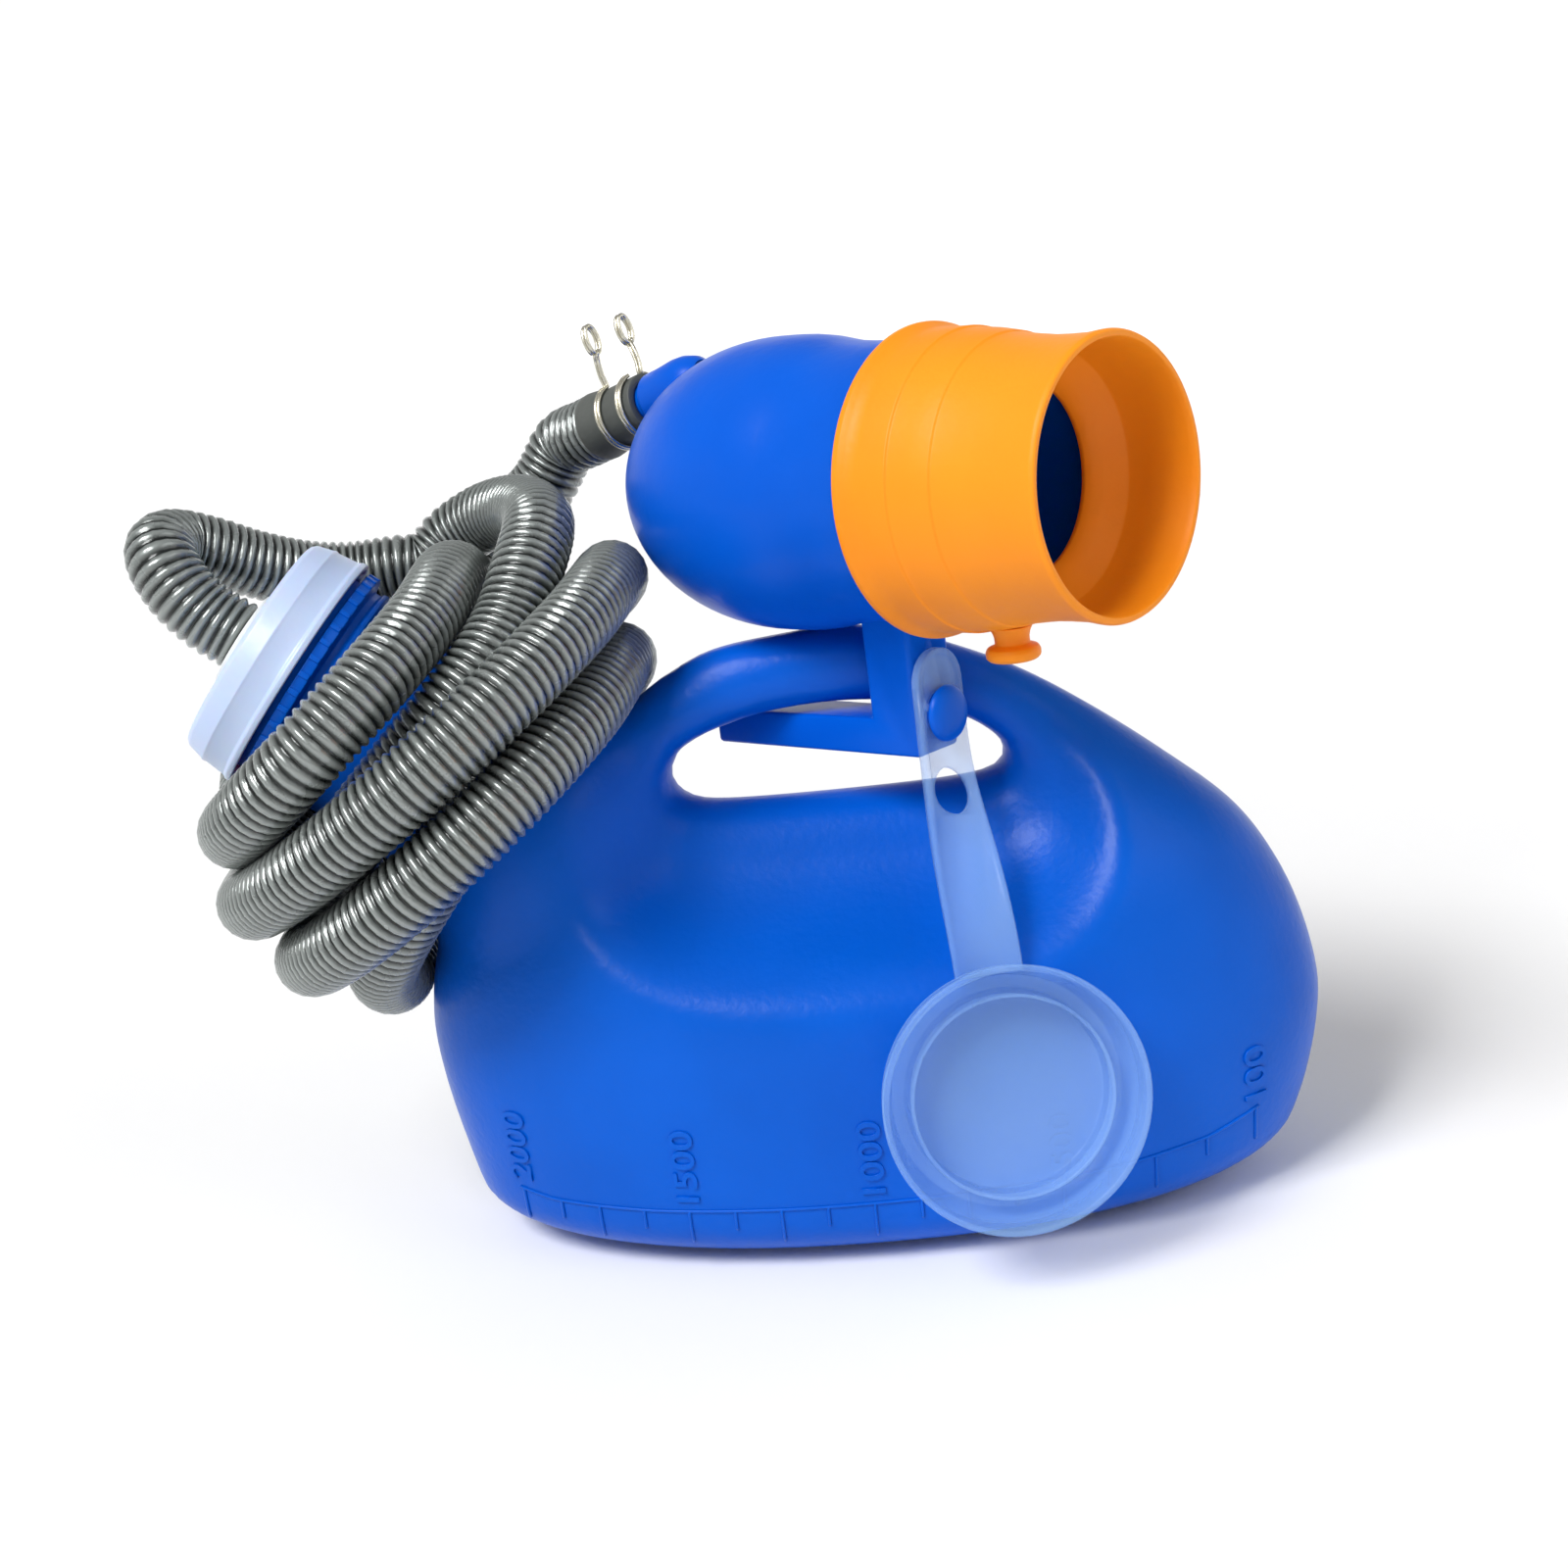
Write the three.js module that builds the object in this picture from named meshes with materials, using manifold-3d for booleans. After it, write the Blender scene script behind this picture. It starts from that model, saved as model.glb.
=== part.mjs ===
// Portable urine bottle with a hose and a hand-held collector, in millimetres.
// The bottle stands on its flat base: the origin is the middle of the base, +X runs to its
// rounded end, +Z is up, and the neck rises at the -X end. The hose is wound round the neck, and
// the collector hangs by its hook on the bottle's handle.
import * as THREE from 'three';
import { mergeVertices } from 'three/addons/utils/BufferGeometryUtils.js';
import Module from 'manifold-3d';

const wasm = await Module();
wasm.setup();

// ---- driving dimensions ----
const WALL = 2.2; // blow-moulded wall of the bottle
const GRID = 10.5; // cell size of the mesh that follows the bottle's surface
const GAP = 0.3; // clearance between pieces that touch

const BASE_ROUND = 16; // radius between the flat base and the belly
const BAR_HALF = 12.5; // half the depth of the handle
const HOLE_ROUND = 11; // rounding of the finger hole's edge
const HOLLOW_RISE = 0.034; // how fast the hollow round the finger hole widens, per mm

const NECK_TILT = THREE.MathUtils.degToRad(39); // neck above the horizontal
const NECK_R = 28.6;
const NECK_BORE = 26.3;
const NECK_SHOULDER = 31.8; // collar under the cap
const CAP_EDGE = [-141, 0, 160]; // middle of the cap's open edge, on the neck's axis
const CAP_DEPTH = 15;
const CAP_WALL = 1.6;
const CAP_EDGE_R = 33.6;
const CAP_FACE_R = 31.0;

const HOSE_R = 9.5;
const HOSE_BORE = 8.0;
const HOSE_SIDES = 8;

const BULB_CENTRE = [-6, 0, 197.2];
const AIM = THREE.MathUtils.degToRad(41); // collector's axis, turned from +X towards -Y
const LIFT = THREE.MathUtils.degToRad(2); // and lifted a little
const BULB_R = 37.4;
const BULB_REAR = 50; // rear half-length of the bulb
const BULB_WALL = 1.8;
const BULB_STEPS = 8;
const MOUTH_R = 34.4; // tube that the sleeve slips over
const MOUTH_END = 68;
const SPIGOT_RISE = 23; // spigot above the collector's axis
const SPIGOT_DROOP = THREE.MathUtils.degToRad(16); // and its slope towards the hose
const SPIGOT_R = 5.6;
const SPIGOT_BORE = 4.2;

const POST_FROM = 22.5; // hook post, along the collector's axis
const POST_TO = 37.5;
const POST_HALF = 8;
const LEG_TOP = -59.2; // hook leg, below the collector's axis
const LEG_BOTTOM = -68.6;
const LEG_BACK = -33;
const STUD_DROP = -58.5;
const STUD_STEM_R = 4.6;
const STUD_HEAD_R = 7.3;
const STUD_STEM = 2.8;
const STUD_HEAD = 3;

const SLEEVE_FROM = 45;
const SLEEVE_TO = 100;
const SLEEVE_WALL = 1.9;

// ---- materials ----
const plastic = (color, roughness, extra = {}) =>
  new THREE.MeshStandardMaterial({ color, roughness, metalness: 0, ...extra });
const BLUE = plastic(0x0a55cc, 0.34);
const ORANGE = plastic(0xff9a2c, 0.45);
const MILKY = plastic(0xc4d2ec, 0.4, { transparent: true, opacity: 0.75 });
const GREY_HOSE = plastic(0x7a807e, 0.35);
const DARK_GREY = plastic(0x4b504e, 0.6);
const WHITE = plastic(0xe6e8e6, 0.4);
const RUBBER = plastic(0x2c2d2e, 0.8);
const ZINC = new THREE.MeshStandardMaterial({ color: 0xb8b6aa, roughness: 0.3, metalness: 1 });

// ---- solids and booleans ----
function solid(geometry) {
  const bare = geometry.clone();
  bare.deleteAttribute('normal');
  bare.deleteAttribute('uv');
  const merged = mergeVertices(bare, 1e-4);
  return new wasm.Manifold(new wasm.Mesh({
    numProp: 3,
    vertProperties: new Float32Array(merged.attributes.position.array),
    triVerts: new Uint32Array(merged.index.array),
  }));
}

function geometryOf(manifold) {
  const mesh = manifold.getMesh();
  const geometry = new THREE.BufferGeometry();
  geometry.setAttribute('position', new THREE.BufferAttribute(mesh.vertProperties, 3));
  geometry.setIndex(new THREE.BufferAttribute(mesh.triVerts, 1));
  return geometry;
}

const HOLE_BLEND = 9; // rounding where the hollow round the hole meets the belly
const NECK_BLEND = 16; // rounding where the neck meets the belly
const STEEPEST = 30; // longest half-size that turns a share of it into millimetres

const smoothMin = (a, b, k) => {
  const h = Math.max(k - Math.abs(a - b), 0) / k;
  return Math.min(a, b) - h * h * k * 0.25;
};
const smoothMax = (a, b, k) => -smoothMin(-a, -b, k);

// A frame whose +Z is the given direction.
function facing(direction, origin = [0, 0, 0]) {
  const turn = new THREE.Quaternion().setFromUnitVectors(
    new THREE.Vector3(0, 0, 1), direction.clone().normalize());
  return new THREE.Matrix4().compose(new THREE.Vector3(...origin), turn, new THREE.Vector3(1, 1, 1));
}

// A turned shape about +Z from [radius, height] points.
function turned(points, segments) {
  const profile = points.map(([r, z]) => new THREE.Vector2(r, z));
  return new THREE.LatheGeometry(profile, segments).rotateX(Math.PI / 2);
}

const box = (from, to) => new THREE.BoxGeometry(to[0] - from[0], to[1] - from[1], to[2] - from[2])
  .translate((from[0] + to[0]) / 2, (from[1] + to[1]) / 2, (from[2] + to[2]) / 2);

// ---- the bottle's surface ----
// Half-lengths to -X and +X, and half-depth, at each height.
const LEVELS = [
  [-30, 100, 98, 45], [0, 108, 106, 49], [25, 114, 116, 51.5], [48, 118, 120.5, 53],
  [65, 118.5, 118.5, 52], [85, 114, 111.5, 48], [102, 104, 100.5, 41], [118, 87, 82.5, 31.5],
  [133, 68, 63, 20], [144, 55, 46, 13.6], [151.5, 43, 30, 10.6], [156.4, 30, 17, 7.2],
  [159.2, 6, 5, 2],
];
// Side outline of the finger hole.
const HOLE = [
  [-47, 124], [-41, 132], [-22, 138], [0, 139.6], [20, 137], [33, 131.5], [41, 124],
  [37, 117], [14, 115], [-30, 115], [-43, 117.5],
];
const PLAN_POWER = 2.2; // fullness of the bottle's plan

function levelAt(z) {
  const last = LEVELS.length - 1;
  const clamped = Math.min(Math.max(z, LEVELS[0][0]), LEVELS[last][0]);
  let i = 0;
  while (i < last - 1 && clamped > LEVELS[i + 1][0]) i += 1;
  const [p0, p1, p2, p3] = [i - 1, i, i + 1, i + 2].map((j) => LEVELS[Math.min(Math.max(j, 0), last)]);
  const t = (clamped - p1[0]) / (p2[0] - p1[0]);
  const value = (k) => {
    const span = p2[0] - p1[0];
    const m1 = p2 === p0 ? 0 : (p2[k] - p0[k]) / (p2[0] - p0[0]) * span;
    const m2 = p3 === p1 ? 0 : (p3[k] - p1[k]) / (p3[0] - p1[0]) * span;
    return (2 * t ** 3 - 3 * t ** 2 + 1) * p1[k] + (t ** 3 - 2 * t ** 2 + t) * m1
      + (-2 * t ** 3 + 3 * t ** 2) * p2[k] + (t ** 3 - t ** 2) * m2;
  };
  return [value(1), value(2), value(3)];
}

// Signed distance to a closed outline in the XZ plane, negative inside it.
function outlineDistance(outline, x, z) {
  let nearest = Infinity;
  let inside = false;
  for (let i = 0, j = outline.length - 1; i < outline.length; j = i, i += 1) {
    const [ax, az] = outline[i];
    const [bx, bz] = outline[j];
    const ex = bx - ax;
    const ez = bz - az;
    const t = Math.min(Math.max(((x - ax) * ex + (z - az) * ez) / (ex * ex + ez * ez), 0), 1);
    nearest = Math.min(nearest, Math.hypot(x - ax - ex * t, z - az - ez * t));
    if ((az > z) !== (bz > z) && x < ax + ex * (z - az) / ez) inside = !inside;
  }
  return inside ? -nearest : nearest;
}

const holeCurve = new THREE.CatmullRomCurve3(
  HOLE.map(([x, z]) => new THREE.Vector3(x, 0, z)), true, 'catmullrom', 0.5);
const holeOutline = holeCurve.getPoints(56).slice(1).map((p) => [p.x, p.z]);

const neckAxis = new THREE.Vector3(-Math.cos(NECK_TILT), 0, Math.sin(NECK_TILT));
const capEdge = new THREE.Vector3(...CAP_EDGE);
const NECK_STUB = -42; // the neck's smooth root, from the cap's edge inwards
const NECK_ROOT = -72;

function bottleField(x, y, z) {
  const [left, right, half] = levelAt(z);
  const reach = x < 0 ? left : right;
  const above = Math.max(z - LEVELS[LEVELS.length - 1][0], 0);
  const plan = Math.sqrt((Math.abs(x) / reach) ** PLAN_POWER + (y / half) ** 2);
  let body = (plan - 1) * Math.min(half, STEEPEST) + above;
  // the finger hole, and the hollow that leads into it
  const out = outlineDistance(holeOutline, x, z);
  const edge = 1 - Math.min(out / HOLE_ROUND, 1);
  const depth = BAR_HALF + HOLLOW_RISE * Math.max(out - 5, 0) ** 2;
  const hollow = (Math.hypot(y / depth, edge) - 1) * Math.min(depth, STEEPEST);
  body = smoothMax(body, hollow, HOLE_BLEND);
  // the neck's root
  const px = x - capEdge.x;
  const pz = z - capEdge.z;
  const along = px * neckAxis.x + pz * neckAxis.z;
  const nearest = Math.min(Math.max(along, NECK_ROOT), NECK_STUB);
  const neck = Math.hypot(px - nearest * neckAxis.x, pz - nearest * neckAxis.z, y) - NECK_R;
  body = smoothMin(body, neck, NECK_BLEND);
  return smoothMax(body, -z, BASE_ROUND);
}

function bottleNormal(p) {
  const e = 0.5;
  const g = new THREE.Vector3(
    bottleField(p.x + e, p.y, p.z) - bottleField(p.x - e, p.y, p.z),
    bottleField(p.x, p.y + e, p.z) - bottleField(p.x, p.y - e, p.z),
    bottleField(p.x, p.y, p.z + e) - bottleField(p.x, p.y, p.z - e));
  return g.divideScalar(2 * e);
}

// Surface nets: one vertex in each cell that the surface crosses, then moved onto the surface.
function surfaceNet(low, high, step, field, gradient) {
  const count = low.map((v, i) => Math.ceil((high[i] - v) / step) + 1);
  const at = (i, j, k) => (k * count[1] + j) * count[0] + i;
  const value = new Float64Array(count[0] * count[1] * count[2]);
  for (let k = 0; k < count[2]; k += 1) {
    for (let j = 0; j < count[1]; j += 1) {
      for (let i = 0; i < count[0]; i += 1) {
        value[at(i, j, k)] = field(low[0] + i * step, low[1] + j * step, low[2] + k * step);
      }
    }
  }
  const vertexOf = new Int32Array(value.length).fill(-1);
  const points = [];
  const corners = [0, 1, 2, 3, 4, 5, 6, 7].map((c) => [c & 1, (c >> 1) & 1, c >> 2]);
  const edges = [];
  for (let a = 0; a < 8; a += 1) {
    for (let bit = 1; bit < 8; bit *= 2) if (!(a & bit)) edges.push([a, a | bit]);
  }
  for (let k = 0; k < count[2] - 1; k += 1) {
    for (let j = 0; j < count[1] - 1; j += 1) {
      for (let i = 0; i < count[0] - 1; i += 1) {
        const v = corners.map(([a, b, c]) => value[at(i + a, j + b, k + c)]);
        const sum = new THREE.Vector3();
        let crossings = 0;
        for (const [a, b] of edges) {
          if ((v[a] < 0) === (v[b] < 0)) continue;
          const t = v[a] / (v[a] - v[b]);
          sum.add(new THREE.Vector3(...corners[a]).lerp(new THREE.Vector3(...corners[b]), t));
          crossings += 1;
        }
        if (!crossings) continue;
        const p = sum.divideScalar(crossings).add(new THREE.Vector3(i, j, k)).multiplyScalar(step)
          .add(new THREE.Vector3(...low));
        for (let n = 0; n < 6; n += 1) {
          const g = gradient(p);
          const move = g.clone().multiplyScalar(-field(p.x, p.y, p.z) / Math.max(g.lengthSq(), 0.05));
          p.add(move.clampLength(0, step / 3));
        }
        vertexOf[at(i, j, k)] = points.length;
        points.push(p);
      }
    }
  }
  const index = [];
  const quad = (a, b, c, d, flip) => {
    const [p, q, r, s] = (flip ? [a, d, c, b] : [a, b, c, d]).map((n) => vertexOf[n]);
    if (points[p].distanceToSquared(points[r]) < points[q].distanceToSquared(points[s])) {
      index.push(p, q, r, p, r, s);
    } else {
      index.push(q, r, s, q, s, p);
    }
  };
  for (let k = 1; k < count[2] - 1; k += 1) {
    for (let j = 1; j < count[1] - 1; j += 1) {
      for (let i = 1; i < count[0] - 1; i += 1) {
        const inside = value[at(i, j, k)] < 0;
        if (inside !== value[at(i + 1, j, k)] < 0) {
          quad(at(i, j - 1, k - 1), at(i, j, k - 1), at(i, j, k), at(i, j - 1, k), !inside);
        }
        if (inside !== value[at(i, j + 1, k)] < 0) {
          quad(at(i - 1, j, k - 1), at(i - 1, j, k), at(i, j, k), at(i, j, k - 1), !inside);
        }
        if (inside !== value[at(i, j, k + 1)] < 0) {
          quad(at(i - 1, j - 1, k), at(i, j - 1, k), at(i, j, k), at(i - 1, j, k), !inside);
        }
      }
    }
  }
  return { points, index };
}

function bottleShell() {
  const { points, index } = surfaceNet([-152, -68, -12], [136, 68, 176], GRID, bottleField, bottleNormal);
  const asSolid = (list) => {
    const geometry = new THREE.BufferGeometry();
    geometry.setAttribute('position', new THREE.BufferAttribute(
      new Float32Array(list.flatMap((p) => [p.x, p.y, p.z])), 3));
    geometry.setIndex(index);
    return solid(geometry);
  };
  const flat = points.map((p) => new THREE.Vector3(p.x, p.y, p.z < 0.4 ? 0 : p.z));
  const inner = flat.map((p) => p.clone().addScaledVector(bottleNormal(p).normalize(), -WALL));
  const place = facing(neckAxis, CAP_EDGE);
  const mouth = CAP_DEPTH - CAP_WALL - 1.6;
  const neck = turned([
    [0, NECK_STUB - 14], [NECK_R - 1.5, NECK_STUB - 14], [NECK_R, NECK_STUB - 8], [NECK_R, -6],
    [NECK_SHOULDER, -4.6], [NECK_SHOULDER, -1.4], [NECK_R, -1.4],
    [NECK_R, mouth - 1.2], [NECK_R - 0.8, mouth], [0, mouth],
  ], 36).applyMatrix4(place);
  const bore = turned([
    [0, NECK_STUB - 20], [NECK_BORE - 4, NECK_STUB - 20], [NECK_BORE, NECK_STUB - 6],
    [NECK_BORE, mouth + 2], [0, mouth + 2],
  ], 36).applyMatrix4(place);
  return geometryOf(asSolid(flat).add(solid(neck)).subtract(asSolid(inner)).subtract(solid(bore)));
}

// ---- the two press-on caps ----
// Half outline of a cap about +Z, from its open edge at 0 to its face.
function capProfile(hole) {
  const t = CAP_WALL;
  const plugOut = NECK_BORE - GAP;
  const plugIn = plugOut - 1.4;
  const floor = CAP_DEPTH - t;
  return [
    [hole, CAP_DEPTH], [hole, floor], [plugIn, floor], [plugIn + 0.2, 5], [plugOut - 0.2, 5],
    [plugOut, floor], [CAP_FACE_R - t - 0.1, floor], [CAP_EDGE_R - t, 0], [CAP_EDGE_R, 0],
    [CAP_EDGE_R, 1.6], [CAP_EDGE_R - 0.7, 2.4], [CAP_FACE_R, CAP_DEPTH - 1.2],
    [CAP_FACE_R - 1.2, CAP_DEPTH],
  ];
}

function neckCap() {
  const profile = capProfile(7.2);
  return turned([...profile, profile[0]], 36).applyMatrix4(facing(neckAxis, CAP_EDGE));
}

const BARB_FACE = CAP_DEPTH + GAP; // outer face of the cap, from its open edge
const FLANGE = 2.2;

function hoseBarb() {
  return turned([
    [4.8, -1], [6.9, -1], [6.9, BARB_FACE], [13, BARB_FACE], [13, BARB_FACE + FLANGE],
    [6, BARB_FACE + FLANGE], [6, BARB_FACE + 5], [6.8, BARB_FACE + 5], [6, BARB_FACE + 8],
    [6.7, BARB_FACE + 8], [5.6, BARB_FACE + 11], [4.8, BARB_FACE + 11], [4.8, -1],
  ], 28).applyMatrix4(facing(neckAxis, CAP_EDGE));
}

function barbWasher() {
  const top = CAP_DEPTH - CAP_WALL - GAP;
  return turned([[7.3, top - 1.6], [12.5, top - 1.6], [12.5, top], [7.3, top], [7.3, top - 1.6]], 28)
    .applyMatrix4(facing(neckAxis, CAP_EDGE));
}

function barbNut() {
  const top = CAP_DEPTH - CAP_WALL - GAP - 1.6 - GAP;
  const corner = (a) => new THREE.Vector2(12 * Math.cos(a), 12 * Math.sin(a));
  const outline = new THREE.Shape([0, 1, 2, 3, 4, 5].map((i) => corner(i * Math.PI / 3)));
  outline.holes.push(new THREE.Path().absarc(0, 0, 7.2, 0, 2 * Math.PI, true));
  return new THREE.ExtrudeGeometry(outline, { depth: 6, bevelEnabled: false, curveSegments: 14 })
    .translate(0, 0, top - 6).applyMatrix4(facing(neckAxis, CAP_EDGE));
}

// ---- the hose ----
// The coil lies in planes across the neck: along runs to the upper right, across runs up the neck.
const COIL_SLOPE = THREE.MathUtils.degToRad(35);
const coilAlong = new THREE.Vector3(Math.cos(COIL_SLOPE), 0, Math.sin(COIL_SLOPE));
const coilAcross = new THREE.Vector3(-Math.sin(COIL_SLOPE), 0, Math.cos(COIL_SLOPE));
const coilPoint = (along, across, y) => capEdge.clone().addScaledVector(coilAlong, along)
  .addScaledVector(coilAcross, across).setY(y);

// The tail, from the cap's face round behind the cap: distance up the neck's axis from the cap's
// edge, distance above the axis, and Y.
const neckAbove = new THREE.Vector3(Math.sin(NECK_TILT), 0, Math.cos(NECK_TILT));
const neckPoint = (along, above, y) => capEdge.clone().addScaledVector(neckAxis, along)
  .addScaledVector(neckAbove, above).setY(y);
const TAIL_START = BARB_FACE + FLANGE + GAP;
const TAIL = [
  [TAIL_START, 0, 0], [TAIL_START + 10, 0, 0], [37, 1.5, 1], [45, 4, 5], [48.5, 5.5, 12],
  [46.5, 6.5, 20], [39, 8, 26], [28, 9.5, 32.5], [15, 13, 40], [5, 18.5, 44], [-5, 27, 45.5],
].map((p) => neckPoint(...p));

// The fold above the neck, then the first strand down its front, nearest the neck: along, across, Y.
const FOLD = [
  [44, -1, 48], [56, -2.5, 44], [66, -6, 33], [72, -10, 16], [73, -13, 0], [66, -18.5, -15],
  [57, -24, -25], [46, -27.5, -35.5], [34, -29.5, -41], [18, -32.5, -42], [0, -36, -41],
  [-16, -40.5, -32.5], [-26, -43, -17],
].map((p) => coilPoint(...p));

// Half turns, from the neck's far end back to the cap's: each starts and ends in the plane Y = 0,
// at [along, across], and bows out to the depth Y half way. A last number above 1 puts off the
// move across.
const HALF_TURNS = [
  [[-29.5, -43.5], [53, -34], 40.5, 2],
  [[53, -34], [-38, -78.5], -42, 1],
  [[-38, -78.5], [66.5, -51.5], 43, 1],
  [[66.5, -51.5], [-47.5, -57], -63, 1],
  [[-47.5, -57], [79, -34], 61, 1],
  [[79, -34], [-48.5, -35.5], -65, 1],
  [[-48.5, -35.5], [48, -7], 47, 1.3],
  [[48, -7], [-37.2, -20.5], -61, 1],
];
const STEPS_PER_HALF = 6;

function halfTurn([from, to, depth, late]) {
  const points = [];
  for (let i = 0; i < STEPS_PER_HALF; i += 1) {
    const angle = Math.PI * i / STEPS_PER_HALF;
    const share = (1 - Math.cos(angle)) / 2;
    const even = (i / STEPS_PER_HALF) ** late;
    points.push(coilPoint(
      from[0] + (to[0] - from[0]) * share,
      from[1] + (to[1] - from[1]) * even,
      depth * Math.sin(angle)));
  }
  return points;
}

// From the last half turn, outside the others behind the neck, to the collector's cuff.
const LEAD = [
  [-37.2, -20.5, 0], [-36, -12.5, 24], [-27, -6, 44], [-8, -3, 60], [18, -4, 66], [46, -7, 67], [70, -7, 59],
].map((p) => coilPoint(...p));

function hose(points, steps) {
  const curve = new THREE.CatmullRomCurve3(points, false, 'centripetal');
  const ring = new THREE.Shape();
  const wall = new THREE.Path();
  for (let i = 0; i <= HOSE_SIDES; i += 1) {
    const angle = 2 * Math.PI * i / HOSE_SIDES;
    const [c, s] = [Math.cos(angle), Math.sin(angle)];
    ring[i ? 'lineTo' : 'moveTo'](HOSE_R * c, HOSE_R * s);
    wall[i ? 'lineTo' : 'moveTo'](HOSE_BORE * c, -HOSE_BORE * s);
  }
  ring.holes.push(wall);
  return new THREE.ExtrudeGeometry(ring, { steps, extrudePath: curve, curveSegments: 1 });
}

// ---- the collector ----
const collectorAxis = new THREE.Vector3(
  Math.cos(AIM) * Math.cos(LIFT), -Math.sin(AIM) * Math.cos(LIFT), Math.sin(LIFT));
const collectorSide = new THREE.Vector3(Math.sin(AIM), Math.cos(AIM), 0); // to the rear
const collectorUp = new THREE.Vector3().crossVectors(collectorSide, collectorAxis).negate();
// Collector frame: x along the axis towards the mouth, y to the side, z up.
const collectorFrame = new THREE.Matrix4().makeBasis(collectorAxis, collectorSide, collectorUp)
  .setPosition(...BULB_CENTRE);
const alongX = (geometry) => geometry.rotateY(Math.PI / 2);

// Radius of the bulb along its axis, less a wall.
function bulbOutline(inset) {
  const points = [];
  const rear = BULB_REAR - inset;
  const radius = BULB_R - inset;
  for (let i = 0; i <= BULB_STEPS; i += 1) {
    const angle = Math.PI / 2 * i / BULB_STEPS;
    points.push([radius * Math.sin(angle), -rear * Math.cos(angle)]);
  }
  points.push([radius, 9], [radius - 0.7, 15], [radius - 2.2, 21], [radius - 2.6, 27]);
  points.push([MOUTH_R - inset, 33]);
  return points;
}

const spigotDirection = new THREE.Vector3(-Math.cos(SPIGOT_DROOP), 0, -Math.sin(SPIGOT_DROOP));
const spigotStart = [-30, 0, SPIGOT_RISE + 5];
const spigotFrame = facing(spigotDirection, spigotStart);

function collector() {
  const outer = turned([...bulbOutline(0), [MOUTH_R, MOUTH_END], [0, MOUTH_END]], 32);
  const inner = turned([...bulbOutline(BULB_WALL), [MOUTH_R - BULB_WALL, MOUTH_END + 2],
    [0, MOUTH_END + 2]], 32);
  const spigot = turned([[0, -2], [SPIGOT_R + 1.6, -2], [SPIGOT_R + 1.6, 17], [SPIGOT_R, 18.5],
    [SPIGOT_R, 32], [0, 32]], 20).applyMatrix4(spigotFrame);
  const bore = turned([[0, -12], [SPIGOT_BORE, -12], [SPIGOT_BORE, 34], [0, 34]], 20)
    .applyMatrix4(spigotFrame);
  const post = box([POST_FROM, -POST_HALF, LEG_BOTTOM], [POST_TO, POST_HALF, -30]);
  const leg = box([LEG_BACK, -POST_HALF, LEG_BOTTOM], [POST_TO, POST_HALF, LEG_TOP]);
  const stud = alongX(turned([
    [0, -1], [STUD_STEM_R, -1], [STUD_STEM_R, STUD_STEM], [STUD_HEAD_R, STUD_STEM + 0.6],
    [STUD_HEAD_R - 0.6, STUD_STEM + 2], [STUD_HEAD_R - 3, STUD_STEM + STUD_HEAD],
    [0, STUD_STEM + STUD_HEAD + 0.6],
  ], 24)).translate(POST_TO, 0, STUD_DROP);
  const shell = solid(alongX(outer)).add(solid(post)).add(solid(leg)).add(solid(stud))
    .add(solid(spigot)).subtract(solid(alongX(inner))).subtract(solid(bore));
  return geometryOf(shell);
}

const CUFF_FROM = 19.5; // from the spigot's start
const CUFF_LENGTH = 22;
const CUFF_R = 8.2;

function hoseCuff() {
  return turned([
    [SPIGOT_R + GAP, CUFF_FROM], [CUFF_R, CUFF_FROM], [CUFF_R, CUFF_FROM + 15],
    [HOSE_R, CUFF_FROM + CUFF_LENGTH - 2], [HOSE_R, CUFF_FROM + CUFF_LENGTH],
    [SPIGOT_R + GAP, CUFF_FROM + CUFF_LENGTH], [SPIGOT_R + GAP, CUFF_FROM],
  ], 24).applyMatrix4(spigotFrame);
}

const WIRE_R = 0.7;
const CLAMP_AT = [CUFF_FROM + 3.2, CUFF_FROM + 12.2];

// One wire: round the cuff twice, with its two ends crossing and rising into ears.
function wireClamp() {
  const around = CUFF_R + GAP + WIRE_R;
  const points = [];
  const ear = (at, side) => [
    [at, side * 2.2, around + 1.5], [at, side * 3.4, around + 7],
    [at + side * 0.8, side * 5.2, around + 11], [at + side * 0.8, side * 2.6, around + 13.6],
  ];
  points.push(...ear(CLAMP_AT[0], 1).reverse());
  const turn = 20;
  for (let i = 0; i <= turn; i += 1) {
    const angle = Math.PI / 2 - (i + 0.8) / (turn + 1.6) * 2 * Math.PI;
    const share = i / turn;
    points.push([CLAMP_AT[0] + (CLAMP_AT[1] - CLAMP_AT[0]) * share,
      around * Math.cos(angle), around * Math.sin(angle)]);
  }
  points.push(...ear(CLAMP_AT[1], -1));
  // along the cuff, to the side, up from the cuff
  const place = new THREE.Matrix4().makeBasis(
    spigotDirection, new THREE.Vector3(0, 1, 0),
    new THREE.Vector3().crossVectors(new THREE.Vector3(0, 1, 0), spigotDirection))
    .setPosition(...spigotStart);
  const path = new THREE.CatmullRomCurve3(
    points.map((p) => new THREE.Vector3(...p).applyMatrix4(place)), false, 'centripetal');
  const section = new THREE.Shape([0, 1, 2, 3, 4, 5].map((i) => new THREE.Vector2(
    WIRE_R * Math.cos(i * Math.PI / 3), WIRE_R * Math.sin(i * Math.PI / 3))));
  return new THREE.ExtrudeGeometry(section, { steps: 56, extrudePath: path });
}

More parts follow.
